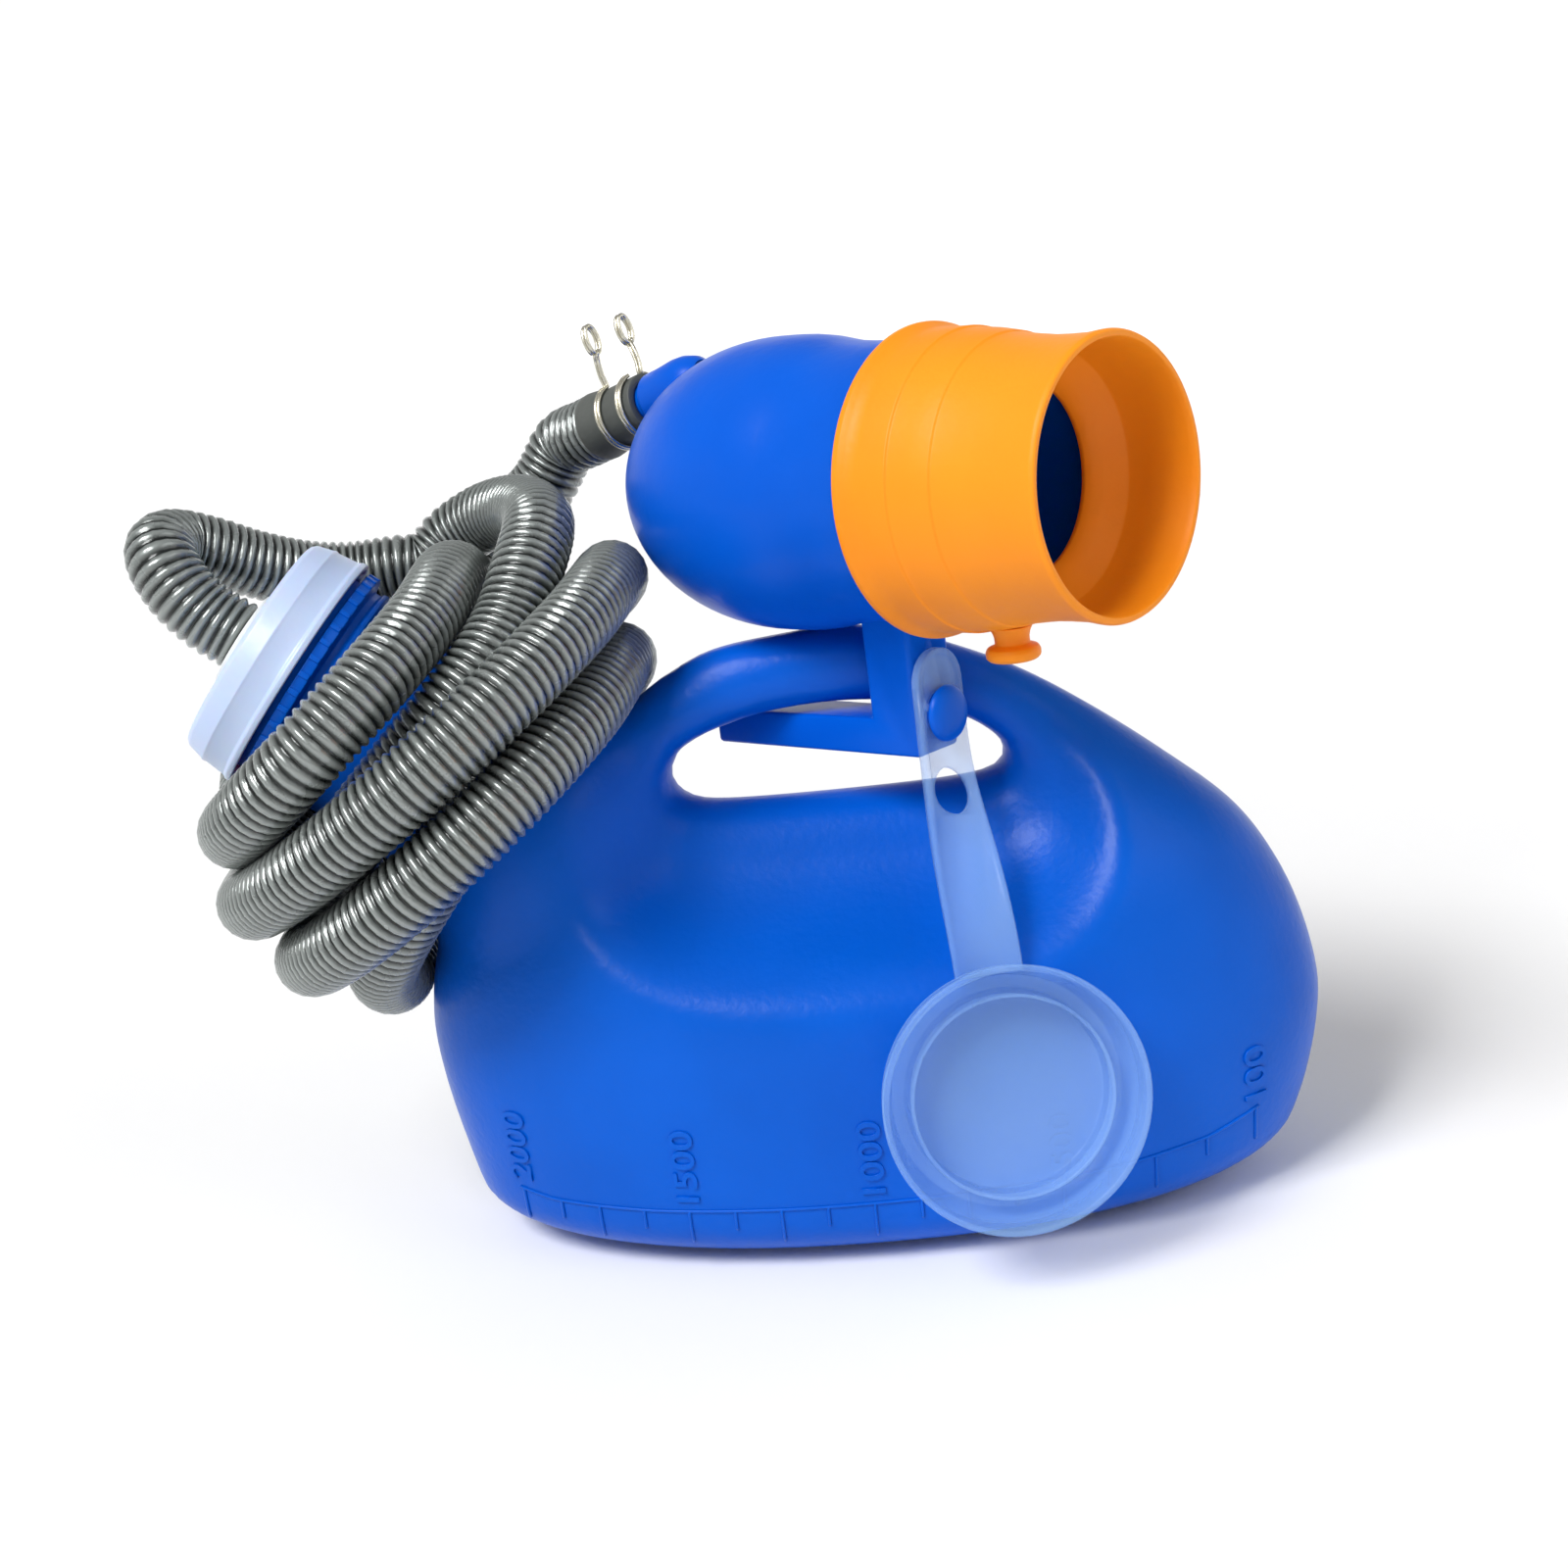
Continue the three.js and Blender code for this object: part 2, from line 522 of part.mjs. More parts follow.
// ---- the mouth sleeve ----
function mouthSleeve() {
  const t = SLEEVE_WALL;
  const back = MOUTH_R + GAP;
  const outer = [
    [back + t + 1.2, SLEEVE_FROM], [back + t + 1.6, SLEEVE_FROM + 1.6], [back + t + 0.4, SLEEVE_FROM + 3.4],
    [back + t, SLEEVE_FROM + 6], [back + t, 68], [34.2, 76], [33.0, 84], [33.0, 96],
    [33.6, SLEEVE_TO - 1.6], [33.4, SLEEVE_TO],
  ];
  const inner = [
    [31.8, SLEEVE_TO], [31.2, 90], [30.6, 84], [24, 76.5], [23, 72.5], [24.2, 72.2],
    [32.2, 78], [33.2, MOUTH_END + 1.5], [back, MOUTH_END + 1.2], [back, SLEEVE_FROM],
  ];
  const wall = turned([...outer, ...inner, outer[0]], 36);
  const knob = turned([
    [0, -1.2], [4.3, -1.2], [4.3, 3.2], [6.6, 4], [6.8, 6.4], [5.8, 7.2], [0, 7.4],
  ], 20).rotateX(Math.PI).translate(0, 0, -(back + t)).translate(64, 0, 0);
  return geometryOf(solid(alongX(wall)).add(solid(knob)));
}

// ---- the tethered cap ----
// Strap and cap in one moulding: it hangs from the stud, and the cap faces away from the belly.
const STRAP_T = 1.8;
const STRAP_HALF = 8.6;
const STRAP_HOLE_R = 6.1;
const HOLE_PITCH = 22;
const HUNG_CAP = [32.4, -55, 49]; // middle of the hanging cap's face
const HUNG_FACING = new THREE.Vector3(0.16, -0.97, 0.18).normalize(); // where its open side looks
const STRAP_TOP = 8; // the strap's end stands this far above the stud
const STRAP_STEPS = 10;

const onPost = (drop) => new THREE.Vector3(POST_TO + GAP + STRAP_T / 2, 0, drop).applyMatrix4(collectorFrame);
const studPoint = onPost(STUD_DROP);
const strapEnd = onPost(STUD_DROP + STRAP_TOP);
const hungCap = new THREE.Vector3(...HUNG_CAP);
const toStud = studPoint.clone().sub(hungCap);
const hungUp = toStud.clone().addScaledVector(HUNG_FACING, -toStud.dot(HUNG_FACING)).normalize();
const hungSide = new THREE.Vector3().crossVectors(hungUp, HUNG_FACING);

// Stations down the strap, from the stud to the cap: middle, half-width direction, facing.
function strapStations() {
  const end = hungCap.clone().addScaledVector(hungUp, CAP_FACE_R - 1.5)
    .addScaledVector(HUNG_FACING, STRAP_T / 2);
  const curve = new THREE.CubicBezierCurve3(
    studPoint, studPoint.clone().add(new THREE.Vector3(0, -3, -22)),
    end.clone().addScaledVector(hungUp, 22), end);
  return Array.from({ length: STRAP_STEPS + 1 }, (_, i) => {
    const t = i / STRAP_STEPS;
    const turn = THREE.MathUtils.smoothstep(t, 0.15, 0.9);
    const run = curve.getTangent(t);
    const side = collectorSide.clone().lerp(hungSide, turn);
    side.addScaledVector(run, -side.dot(run)).normalize();
    const face = new THREE.Vector3().crossVectors(side, run).negate();
    return { middle: curve.getPoint(t), side, face };
  });
}

function ribbon(stations, half, thickness) {
  const corner = ({ middle, side, face }, a, b) => middle.clone()
    .addScaledVector(side, a * half).addScaledVector(face, b * thickness / 2);
  const corners = [[-1, -1], [1, -1], [1, 1], [-1, 1]];
  const points = stations.flatMap((s) => corners.map(([a, b]) => corner(s, a, b)));
  const index = [0, 2, 1, 0, 3, 2];
  for (let i = 0; i < stations.length - 1; i += 1) {
    for (let k = 0; k < 4; k += 1) {
      const [a, b] = [4 * i + k, 4 * i + (k + 1) % 4];
      index.push(a, b, b + 4, a, b + 4, a + 4);
    }
  }
  const last = points.length - 4;
  index.push(last, last + 1, last + 2, last, last + 2, last + 3);
  const geometry = new THREE.BufferGeometry();
  geometry.setAttribute('position', new THREE.BufferAttribute(
    new Float32Array(points.flatMap((p) => [p.x, p.y, p.z])), 3));
  geometry.setIndex(index);
  return geometry;
}

function disc(radius, depth, direction, middle) {
  return turned([[0, -depth / 2], [radius, -depth / 2], [radius, depth / 2], [0, depth / 2]], 28)
    .applyMatrix4(facing(direction, middle.toArray()));
}

function tetheredCap() {
  const stations = strapStations();
  const top = { middle: strapEnd, side: collectorSide, face: collectorAxis };
  const length = studPoint.distanceTo(stations[STRAP_STEPS].middle);
  const second = stations[Math.round(STRAP_STEPS * HOLE_PITCH / length)];
  const cap = turned([...capProfile(0).slice(1), [0, CAP_DEPTH]], 36)
    .applyMatrix4(facing(HUNG_FACING.clone().negate(), hungCap.clone()
      .addScaledVector(HUNG_FACING, CAP_DEPTH).toArray()));
  return geometryOf(solid(ribbon([top, ...stations.slice(1)], STRAP_HALF, STRAP_T))
    .add(solid(disc(STRAP_HALF, STRAP_T, collectorAxis, strapEnd)))
    .subtract(solid(disc(STRAP_HOLE_R, 4 * STRAP_T, collectorAxis, studPoint)))
    .subtract(solid(disc(STRAP_HOLE_R, 4 * STRAP_T, second.face, second.middle)))
    .add(solid(cap)));
}

// ---- assembly ----
const assembly = new THREE.Group();

function addMesh(parent, name, geometry, material) {
  const mesh = new THREE.Mesh(geometry, material);
  mesh.name = name;
  parent.add(mesh);
  return mesh;
}

addMesh(assembly, 'bottle_shell', bottleShell(), BLUE);
addMesh(assembly, 'neck_cap', neckCap(), MILKY);
addMesh(assembly, 'hose_barb', hoseBarb(), WHITE);
addMesh(assembly, 'barb_washer', barbWasher(), RUBBER);
addMesh(assembly, 'barb_nut', barbNut(), WHITE);

const collectorGroup = new THREE.Group();
collectorGroup.applyMatrix4(collectorFrame);
assembly.add(collectorGroup);
addMesh(collectorGroup, 'collector', collector(), BLUE);
addMesh(collectorGroup, 'hose_cuff', hoseCuff(), DARK_GREY);
addMesh(collectorGroup, 'wire_clamp', wireClamp(), ZINC);
addMesh(collectorGroup, 'mouth_sleeve', mouthSleeve(), ORANGE);

// where the hose meets the cuff
const cuffEnd = new THREE.Vector3(0, 0, CUFF_FROM + CUFF_LENGTH + GAP).applyMatrix4(spigotFrame)
  .applyMatrix4(collectorFrame);
const cuffAway = spigotDirection.clone().transformDirection(collectorFrame);
const intoCuff = [16, 6, 0].map((d) => cuffEnd.clone().addScaledVector(cuffAway, d));

const tailEnd = TAIL[TAIL.length - 1];
const tailRun = tailEnd.clone().sub(TAIL[TAIL.length - 2]).normalize();
const coil = [
  ...[GAP, 8].map((d) => tailEnd.clone().addScaledVector(tailRun, d)),
  ...FOLD, ...HALF_TURNS.flatMap(halfTurn), ...LEAD, ...intoCuff,
];
addMesh(assembly, 'hose_tail', hose(TAIL, 14), GREY_HOSE);
addMesh(assembly, 'hose_coil', hose(coil, 66), GREY_HOSE);

addMesh(assembly, 'tethered_cap', tetheredCap(), MILKY);

export default assembly;
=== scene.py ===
"""A plastic urine bottle with its hose, collector, mouth sleeve and caps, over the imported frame."""
import math

import bmesh
import bpy
import numpy as np
from mathutils import Matrix, Vector


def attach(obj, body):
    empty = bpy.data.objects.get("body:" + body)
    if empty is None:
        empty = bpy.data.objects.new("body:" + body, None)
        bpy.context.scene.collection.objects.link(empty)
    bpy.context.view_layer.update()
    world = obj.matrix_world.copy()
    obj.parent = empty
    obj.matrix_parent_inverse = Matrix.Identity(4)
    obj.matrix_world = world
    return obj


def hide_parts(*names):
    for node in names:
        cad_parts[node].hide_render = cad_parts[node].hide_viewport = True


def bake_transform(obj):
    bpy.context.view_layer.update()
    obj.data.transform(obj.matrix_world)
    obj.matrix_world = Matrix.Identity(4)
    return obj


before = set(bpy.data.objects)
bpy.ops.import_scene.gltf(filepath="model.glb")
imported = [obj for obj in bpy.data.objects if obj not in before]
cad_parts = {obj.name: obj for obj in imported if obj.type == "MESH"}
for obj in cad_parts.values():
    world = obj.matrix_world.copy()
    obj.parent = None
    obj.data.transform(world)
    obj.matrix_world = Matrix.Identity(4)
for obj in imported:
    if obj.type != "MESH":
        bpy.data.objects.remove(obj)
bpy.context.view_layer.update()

MM = 0.001

# ---- the places and sizes that part.mjs drives, in millimetres ----
CAP_EDGE = np.array([-141.0, 0.0, 160.0])  # middle of the neck cap's open edge
NECK_TILT = math.radians(39)
NECK_R = 28.6
NECK_BORE = 26.3
CAP_DEPTH = 15
CAP_WALL = 1.6
CAP_EDGE_R = 33.6
CAP_FACE_R = 31.0
BARB_FLANGE = 2.2
GAP = 0.3
BULB_CENTRE = (-6, 0, 197.2)
AIM = math.radians(41)
LIFT = math.radians(2)
BULB_R = 37.4
BULB_REAR = 50
BULB_WALL = 1.8
MOUTH_R = 34.4
MOUTH_END = 68
SPIGOT_START = (-30, 0, 28)
SPIGOT_DROOP = math.radians(16)
SPIGOT_R = 5.6
SPIGOT_BORE = 4.2
POST_FROM, POST_TO, POST_HALF = 22.5, 37.5, 8
LEG_TOP, LEG_BOTTOM, LEG_BACK = -59.2, -68.6, -33
STUD_DROP = -58.5
CUFF_FROM = 19.5
CUFF_LENGTH = 22
CUFF_R = 8.2
SLEEVE_FROM, SLEEVE_TO, SLEEVE_WALL = 45, 100, 1.9
HUNG_CAP = np.array([32.4, -55.0, 49.0])  # middle of the hanging cap's face
HUNG_FACING = np.array([0.16, -0.97, 0.18])

HOSE_R = 9.5
RIB_PITCH = 2.7
RIB_DEPTH = 1.25
HOSE_SIDES = 20
RINGS_PER_RIB = 6
TAIL_LENGTH = 120  # the stretch of the hose after the neck cap that moves with it
LEAD_LENGTH = 150  # the stretch of the hose before the cuff that moves with the collector

# ---- how finely round pieces are divided ----
LARGE_SIDES = 128
NECK_SIDES = 96
FITTING_SIDES = 64
SMALL_SIDES = 48
BORE_SIDES = 32
QUARTER_STEPS = 24


def unit(v):
    v = np.asarray(v, float)
    return v / np.linalg.norm(v)


neck_axis = np.array([-math.cos(NECK_TILT), 0, math.sin(NECK_TILT)])
neck_above = np.array([math.sin(NECK_TILT), 0, math.cos(NECK_TILT)])
aim_axis = np.array([math.cos(AIM) * math.cos(LIFT), -math.sin(AIM) * math.cos(LIFT), math.sin(LIFT)])
aim_side = np.array([math.sin(AIM), math.cos(AIM), 0])
aim_up = -np.cross(aim_side, aim_axis)


def placed(x_axis, y_axis, z_axis, origin):
    """A frame from its three axes and its origin."""
    m = Matrix.Identity(4)
    for i in range(3):
        m[i][0], m[i][1], m[i][2], m[i][3] = x_axis[i], y_axis[i], z_axis[i], origin[i]
    return m


def facing(direction, origin):
    """A frame whose +Z is the given direction."""
    z = unit(direction)
    x = unit(np.cross((0, 1, 0) if abs(z[1]) < 0.9 else (1, 0, 0), z))
    return placed(x, np.cross(z, x), z, origin)


collector_frame = placed(aim_axis, aim_side, aim_up, BULB_CENTRE)
ALONG_X = Matrix(((0, 0, 1, 0), (0, 1, 0, 0), (-1, 0, 0, 0), (0, 0, 0, 1)))
spigot_direction = np.array([-math.cos(SPIGOT_DROOP), 0, -math.sin(SPIGOT_DROOP)])
neck_frame = facing(neck_axis, CAP_EDGE)
collector_turned = collector_frame @ ALONG_X
spigot_frame = collector_frame @ facing(spigot_direction, SPIGOT_START)


# ---- the camera ----
CAMERA_AT = (0.0105, -0.6013, 0.2839)
CAMERA_TARGET = (-0.0173, 0.0, 0.1179)
CAMERA_LENS = 54
CAMERA_ROLL = math.radians(-6)


def make_camera():
    """The main view: from the front, a little above the object, rolled a few degrees."""
    position = Vector(CAMERA_AT)
    target = Vector(CAMERA_TARGET)
    camera = bpy.data.objects.new("camera", bpy.data.cameras.new("camera"))
    bpy.context.collection.objects.link(camera)
    camera.data.lens = CAMERA_LENS
    look = (target - position).to_track_quat("-Z", "Y").to_matrix().to_4x4()
    roll = Matrix.Rotation(CAMERA_ROLL, 4, "Z")
    camera.matrix_world = Matrix.Translation(position) @ look @ roll
    bpy.context.scene.camera = camera


make_camera()


# ---- meshes ----
BEVEL_STEPS = 3
SHARP_ANGLE = math.radians(28)  # edges that bend more than this are rounded
SAME_POINT = 1e-6


def mesh_object(name, points, faces):
    """A smooth-shaded mesh from points in millimetres."""
    mesh = bpy.data.meshes.new(name)
    mesh.from_pydata([tuple(float(c) * MM for c in p) for p in points], [], faces)
    mesh.validate()
    mesh.shade_smooth()
    obj = bpy.data.objects.new(name, mesh)
    bpy.context.collection.objects.link(obj)
    return obj


def transform_points(points, matrix):
    """The points carried by a 4 x 4 matrix, as an array."""
    m = np.array(matrix)
    return np.asarray(points, float) @ m[:3, :3].T + m[:3, 3]


def lathe(profile, segments, matrix):
    """Points and faces of a turned shape about +Z, from (radius, height) points."""
    points, rings, faces = [], [], []
    for r, h in profile:
        if r < SAME_POINT:
            rings.append([len(points)])
            points.append((0, 0, h))
            continue
        rings.append(list(range(len(points), len(points) + segments)))
        for k in range(segments):
            a = 2 * math.pi * k / segments
            points.append((r * math.cos(a), r * math.sin(a), h))
    for low, high in zip(rings, rings[1:]):
        for k in range(segments):
            n = (k + 1) % segments
            if len(low) == 1:
                faces.append((low[0], high[n], high[k]))
            elif len(high) == 1:
                faces.append((low[k], low[n], high[0]))
            else:
                faces.append((low[k], low[n], high[n], high[k]))
    return transform_points(points, matrix), faces


def turned(name, profile, segments, matrix, edge=0.5):
    """A turned piece with its sharp edges rounded."""
    points, faces = lathe(profile, segments, matrix)
    obj = mesh_object(name, points, faces)
    clean(obj)
    soften(obj, edge)
    return obj


def clean(obj):
    """Merges doubled points and turns the faces outwards."""
    bm = bmesh.new()
    bm.from_mesh(obj.data)
    bmesh.ops.remove_doubles(bm, verts=bm.verts, dist=SAME_POINT)
    bmesh.ops.recalc_face_normals(bm, faces=bm.faces)
    bm.to_mesh(obj.data)
    bm.free()
    obj.data.shade_smooth()


def soften(obj, width):
    """Rounds a piece's sharp edges, with the width in millimetres."""
    bevel = obj.modifiers.new("rounded", "BEVEL")
    bevel.width = width * MM
    bevel.segments = BEVEL_STEPS
    bevel.limit_method = "ANGLE"
    bevel.angle_limit = SHARP_ANGLE
    bevel.use_clamp_overlap = True


def apply_modifiers(obj):
    """Replaces a piece's mesh with its mesh after its modifiers."""
    graph = bpy.context.evaluated_depsgraph_get()
    mesh = bpy.data.meshes.new_from_object(obj.evaluated_get(graph))
    obj.modifiers.clear()
    obj.data = mesh
    obj.data.shade_smooth()


def cut(obj, other, operation):
    """A boolean with another piece, which is then removed."""
    boolean = obj.modifiers.new("cut", "BOOLEAN")
    boolean.operation = operation
    boolean.solver = "EXACT"
    boolean.object = other
    apply_modifiers(obj)
    bpy.data.objects.remove(other)


def merge(name, objects):
    """One mesh of several, modifiers applied."""
    points, faces = [], []
    for obj in objects:
        apply_modifiers(obj)
        base = len(points)
        points += [v.co / MM for v in obj.data.vertices]
        faces += [tuple(base + i for i in p.vertices) for p in obj.data.polygons]
        bpy.data.objects.remove(obj)
    return mesh_object(name, points, faces)


def catmull(points, per_span, closed=False):
    """A centripetal Catmull-Rom curve through the points."""
    p = np.asarray(points, float)
    n = len(p)
    out = []
    for i in range(n if closed else n - 1):
        p1, p2 = p[i], p[(i + 1) % n]
        p0 = p[i - 1] if closed or i > 0 else 2 * p1 - p2
        p3 = p[(i + 2) % n] if closed or i + 2 < n else 2 * p2 - p1
        spans = ((p0, p1), (p1, p2), (p2, p3))
        d0, d1, d2 = [max(np.linalg.norm(b - a), SAME_POINT) ** 0.5 for a, b in spans]
        t1 = ((p1 - p0) / d0 - (p2 - p0) / (d0 + d1) + (p2 - p1) / d1) * d1
        t2 = ((p2 - p1) / d1 - (p3 - p1) / (d1 + d2) + (p3 - p2) / d2) * d1
        for k in range(per_span):
            t = k / per_span
            out.append((2 * t**3 - 3 * t**2 + 1) * p1 + (t**3 - 2 * t**2 + t) * t1
                       + (3 * t**2 - 2 * t**3) * p2 + (t**3 - t**2) * t2)
    if not closed:
        out.append(p[-1])
    return np.array(out)


def resample(line, step):
    """The line at even steps, with its arc length."""
    seg = np.linalg.norm(np.diff(line, axis=0), axis=1)
    s = np.concatenate([[0], np.cumsum(seg)])
    count = max(int(round(s[-1] / step)), 2)
    at = np.linspace(0, s[-1], count + 1)
    return np.stack([np.interp(at, s, line[:, k]) for k in range(3)], axis=1), at


def tube(line, radii, sides):
    """Points and faces of a tube round a line, its ends closed."""
    tangents = np.gradient(line, axis=0)
    tangents /= np.linalg.norm(tangents, axis=1)[:, None]
    side = unit(np.cross(tangents[0], (0.3, 0.5, 0.81)))
    rings = []
    for p, t, r in zip(line, tangents, radii):
        side = unit(side - t * side.dot(t))
        other = np.cross(t, side)
        a = np.arange(sides) * 2 * math.pi / sides
        rings.append(p + r * (np.outer(np.cos(a), side) + np.outer(np.sin(a), other)))
    points = np.concatenate(rings)
    faces = []
    for i in range(len(line) - 1):
        for k in range(sides):
            a, b = i * sides + k, i * sides + (k + 1) % sides
            faces.append((a, b, b + sides, a + sides))
    faces.append(tuple(range(sides - 1, -1, -1)))
    last = (len(line) - 1) * sides
    faces.append(tuple(range(last, last + sides)))
    return points, faces


# ---- the hose ----
COIL_SLOPE = math.radians(35)
CURVE_STEPS = 24  # points for each span between two control points
PATH_STRIDE = 4  # every fourth point of a piece's middle line goes into its path
RUN_ON = 8  # the wound hose's first point past the tail, along the tail
CUFF_LEAD_IN = (16, 6, 0)  # distances from the cuff at which the hose already points along it
SPLIT_SLACK = 0.01
coil_along = np.array([math.cos(COIL_SLOPE), 0, math.sin(COIL_SLOPE)])
coil_across = np.array([-math.sin(COIL_SLOPE), 0, math.cos(COIL_SLOPE)])


def coil_point(along, across, y):
    """A point of the winding, in the plane that leans with the coil."""
    return CAP_EDGE + along * coil_along + across * coil_across + np.array([0, y, 0])


def neck_point(along, above, y):
    """A point beside the neck's middle line."""
    return CAP_EDGE + along * neck_axis + above * neck_above + np.array([0, y, 0])


TAIL_START = CAP_DEPTH + GAP + BARB_FLANGE + GAP
TAIL = [neck_point(*p) for p in [
    (TAIL_START, 0, 0), (TAIL_START + 10, 0, 0), (37, 1.5, 1), (45, 4, 5), (48.5, 5.5, 12),
    (46.5, 6.5, 20), (39, 8, 26), (28, 9.5, 32.5), (15, 13, 40), (5, 18.5, 44), (-5, 27, 45.5),
]]
# over the neck and down its front, nearest the neck
FOLD = [coil_point(*p) for p in [
    (44, -1, 48), (56, -2.5, 44), (66, -6, 33), (72, -10, 16), (73, -13, 0), (66, -18.5, -15),
    (57, -24, -25), (46, -27.5, -35.5), (34, -29.5, -41), (18, -32.5, -42), (0, -36, -41),
    (-16, -40.5, -32.5), (-26, -43, -17),
]]
# half turns: start and end (along, across) in the plane Y = 0, depth half way, delay across
HALF_TURNS = [
    ((-29.5, -43.5), (53, -34), 40.5, 2),
    ((53, -34), (-38, -78.5), -42, 1),
    ((-38, -78.5), (66.5, -51.5), 43, 1),
    ((66.5, -51.5), (-47.5, -57), -63, 1),
    ((-47.5, -57), (79, -34), 61, 1),
    ((79, -34), (-48.5, -35.5), -65, 1),
    ((-48.5, -35.5), (48, -7), 47, 1.3),
    ((48, -7), (-37.2, -20.5), -61, 1),
]
STEPS_PER_HALF = 6
LEAD = [coil_point(*p) for p in [
    (-37.2, -20.5, 0), (-36, -12.5, 24), (-27, -6, 44), (-8, -3, 60), (18, -4, 66), (46, -7, 67),
    (70, -7, 59),
]]


def half_turn(start, end, depth, late):
    """Control points of half a turn round the neck, on the side that the depth's sign gives."""
    points = []
    for i in range(STEPS_PER_HALF):
        angle = math.pi * i / STEPS_PER_HALF
        share = (1 - math.cos(angle)) / 2
        even = (i / STEPS_PER_HALF) ** late
        points.append(coil_point(start[0] + (end[0] - start[0]) * share,
                                 start[1] + (end[1] - start[1]) * even,
                                 depth * math.sin(angle)))
    return points


def hose_route():
    """Control points of the wound hose, from the tail's end to the cuff."""
    run = unit(TAIL[-1] - TAIL[-2])
    cuff_end = transform_points([(0, 0, CUFF_FROM + CUFF_LENGTH + GAP)], spigot_frame)[0]
    away = unit(np.array(collector_frame.to_3x3()) @ spigot_direction)
    route = [TAIL[-1] + run * d for d in (GAP, RUN_ON)] + FOLD
    for turn in HALF_TURNS:
        route += half_turn(*turn)
    return route + LEAD + [cuff_end + away * d for d in CUFF_LEAD_IN]


def rib_radius(s):
    """Radius along the corrugated hose: broad round ribs with narrow grooves."""
    wave = np.abs(np.sin(math.pi * s / RIB_PITCH))
    return HOSE_R - RIB_DEPTH * (1 - wave)


def hose_piece(name, start, end):
    """A corrugated length of the hose between two distances along it, in millimetres."""
    keep = (hose_at >= start - SPLIT_SLACK) & (hose_at <= end + SPLIT_SLACK)
    line, at = hose_line[keep], hose_at[keep]
    points, faces = tube(line, rib_radius(at), HOSE_SIDES)
    obj = mesh_object(name, points, faces)
    # How high each ring sits on its rib, 0 in a groove and 1 on a ridge; the hose material paints shade into
    # the grooves from it.
    groove_shade_mask = (rib_radius(at) - (HOSE_R - RIB_DEPTH)) / RIB_DEPTH
    layer = obj.data.attributes.new("groove_shade_mask", "FLOAT", "POINT")
    layer.data.foreach_set("value", np.repeat(groove_shade_mask, HOSE_SIDES).astype(np.float32))
    return obj, line[::PATH_STRIDE] * MM


whole_hose = np.concatenate([catmull(TAIL, CURVE_STEPS), catmull(hose_route(), CURVE_STEPS)])
hose_line, hose_at = resample(whole_hose, RIB_PITCH / RINGS_PER_RIB)
lead_start = hose_at[-1] - LEAD_LENGTH
hose_tail, tail_path = hose_piece("hose_tail_ribbed", 0, TAIL_LENGTH)
hose_coil, coil_path = hose_piece("hose_coil_ribbed", TAIL_LENGTH, lead_start)
hose_lead, lead_path = hose_piece("hose_lead_ribbed", lead_start, hose_at[-1])


# ---- the bottle's surface ----
# height, half-lengths to -X and +X, half-depth
LEVELS = np.array([
    (-30, 100, 98, 45), (0, 108, 106, 49), (25, 114, 116, 51.5), (48, 118, 120.5, 53),
    (65, 118.5, 118.5, 52), (85, 114, 111.5, 48), (102, 104, 100.5, 41), (118, 87, 82.5, 31.5),
    (133, 68, 63, 20), (144, 55, 46, 13.6), (151.5, 43, 30, 10.6), (156.4, 30, 17, 7.2),
    (159.2, 6, 5, 2),
], float)
# the finger hole's outline, as (x, z)
HOLE = np.array([
    (-47, 124), (-41, 132), (-22, 138), (0, 139.6), (20, 137), (33, 131.5), (41, 124),
    (37, 117), (14, 115), (-30, 115), (-43, 117.5),
], float)
PLAN_POWER = 2.2
BASE_ROUND = 16
BAR_HALF = 12.5
HOLE_ROUND = 11
HOLE_STEPS = 56
HOLE_BLEND = 9
HOLLOW_FLAT = 5  # how far from the hole the bar keeps its thickness
HOLLOW_RISE = 0.034
NECK_STUB, NECK_ROOT = -42, -72
NECK_BLEND = 16
STEEPEST = 30  # limits how fast the field grows away from the surface
SLOPE_STEP = 0.4


def smooth_min(a, b, k):
    """The smaller of two fields, blended over a width k."""
    h = np.maximum(k - np.abs(a - b), 0) / k
    return np.minimum(a, b) - h * h * k * 0.25


def smooth_max(a, b, k):
    return -smooth_min(-a, -b, k)


def level_at(z):
    """Half-lengths to -X and +X, and half-depth, at each height."""
    heights = LEVELS[:, 0]
    z = np.clip(z, heights[0], heights[-1])
    i = np.clip(np.searchsorted(heights, z, side="right") - 1, 0, len(LEVELS) - 2)
    p0, p1 = LEVELS[np.maximum(i - 1, 0)], LEVELS[i]
    p2, p3 = LEVELS[i + 1], LEVELS[np.minimum(i + 2, len(LEVELS) - 1)]
    span = (p2[:, 0] - p1[:, 0])[:, None]
    m1 = (p2 - p0) / (p2[:, 0] - p0[:, 0])[:, None] * span
    m2 = (p3 - p1) / (p3[:, 0] - p1[:, 0])[:, None] * span
    t = ((z - p1[:, 0]) / span[:, 0])[:, None]
    value = ((2 * t**3 - 3 * t**2 + 1) * p1 + (t**3 - 2 * t**2 + t) * m1
             + (3 * t**2 - 2 * t**3) * p2 + (t**3 - t**2) * m2)
    return value[:, 1], value[:, 2], value[:, 3]


def hole_outline():
    """The finger hole's outline as a smooth closed line."""
    n = len(HOLE)
    points = []
    for k in range(HOLE_STEPS):
        at = k / HOLE_STEPS * n
        i, t = int(at), at - int(at)
        a, b, c, d = (HOLE[(i + j) % n] for j in (-1, 0, 1, 2))
        t1, t2 = (c - a) / 2, (d - b) / 2
        points.append((2 * t**3 - 3 * t**2 + 1) * b + (t**3 - 2 * t**2 + t) * t1
                      + (3 * t**2 - 2 * t**3) * c + (t**3 - t**2) * t2)
    return np.array(points)


HOLE_LINE = hole_outline()


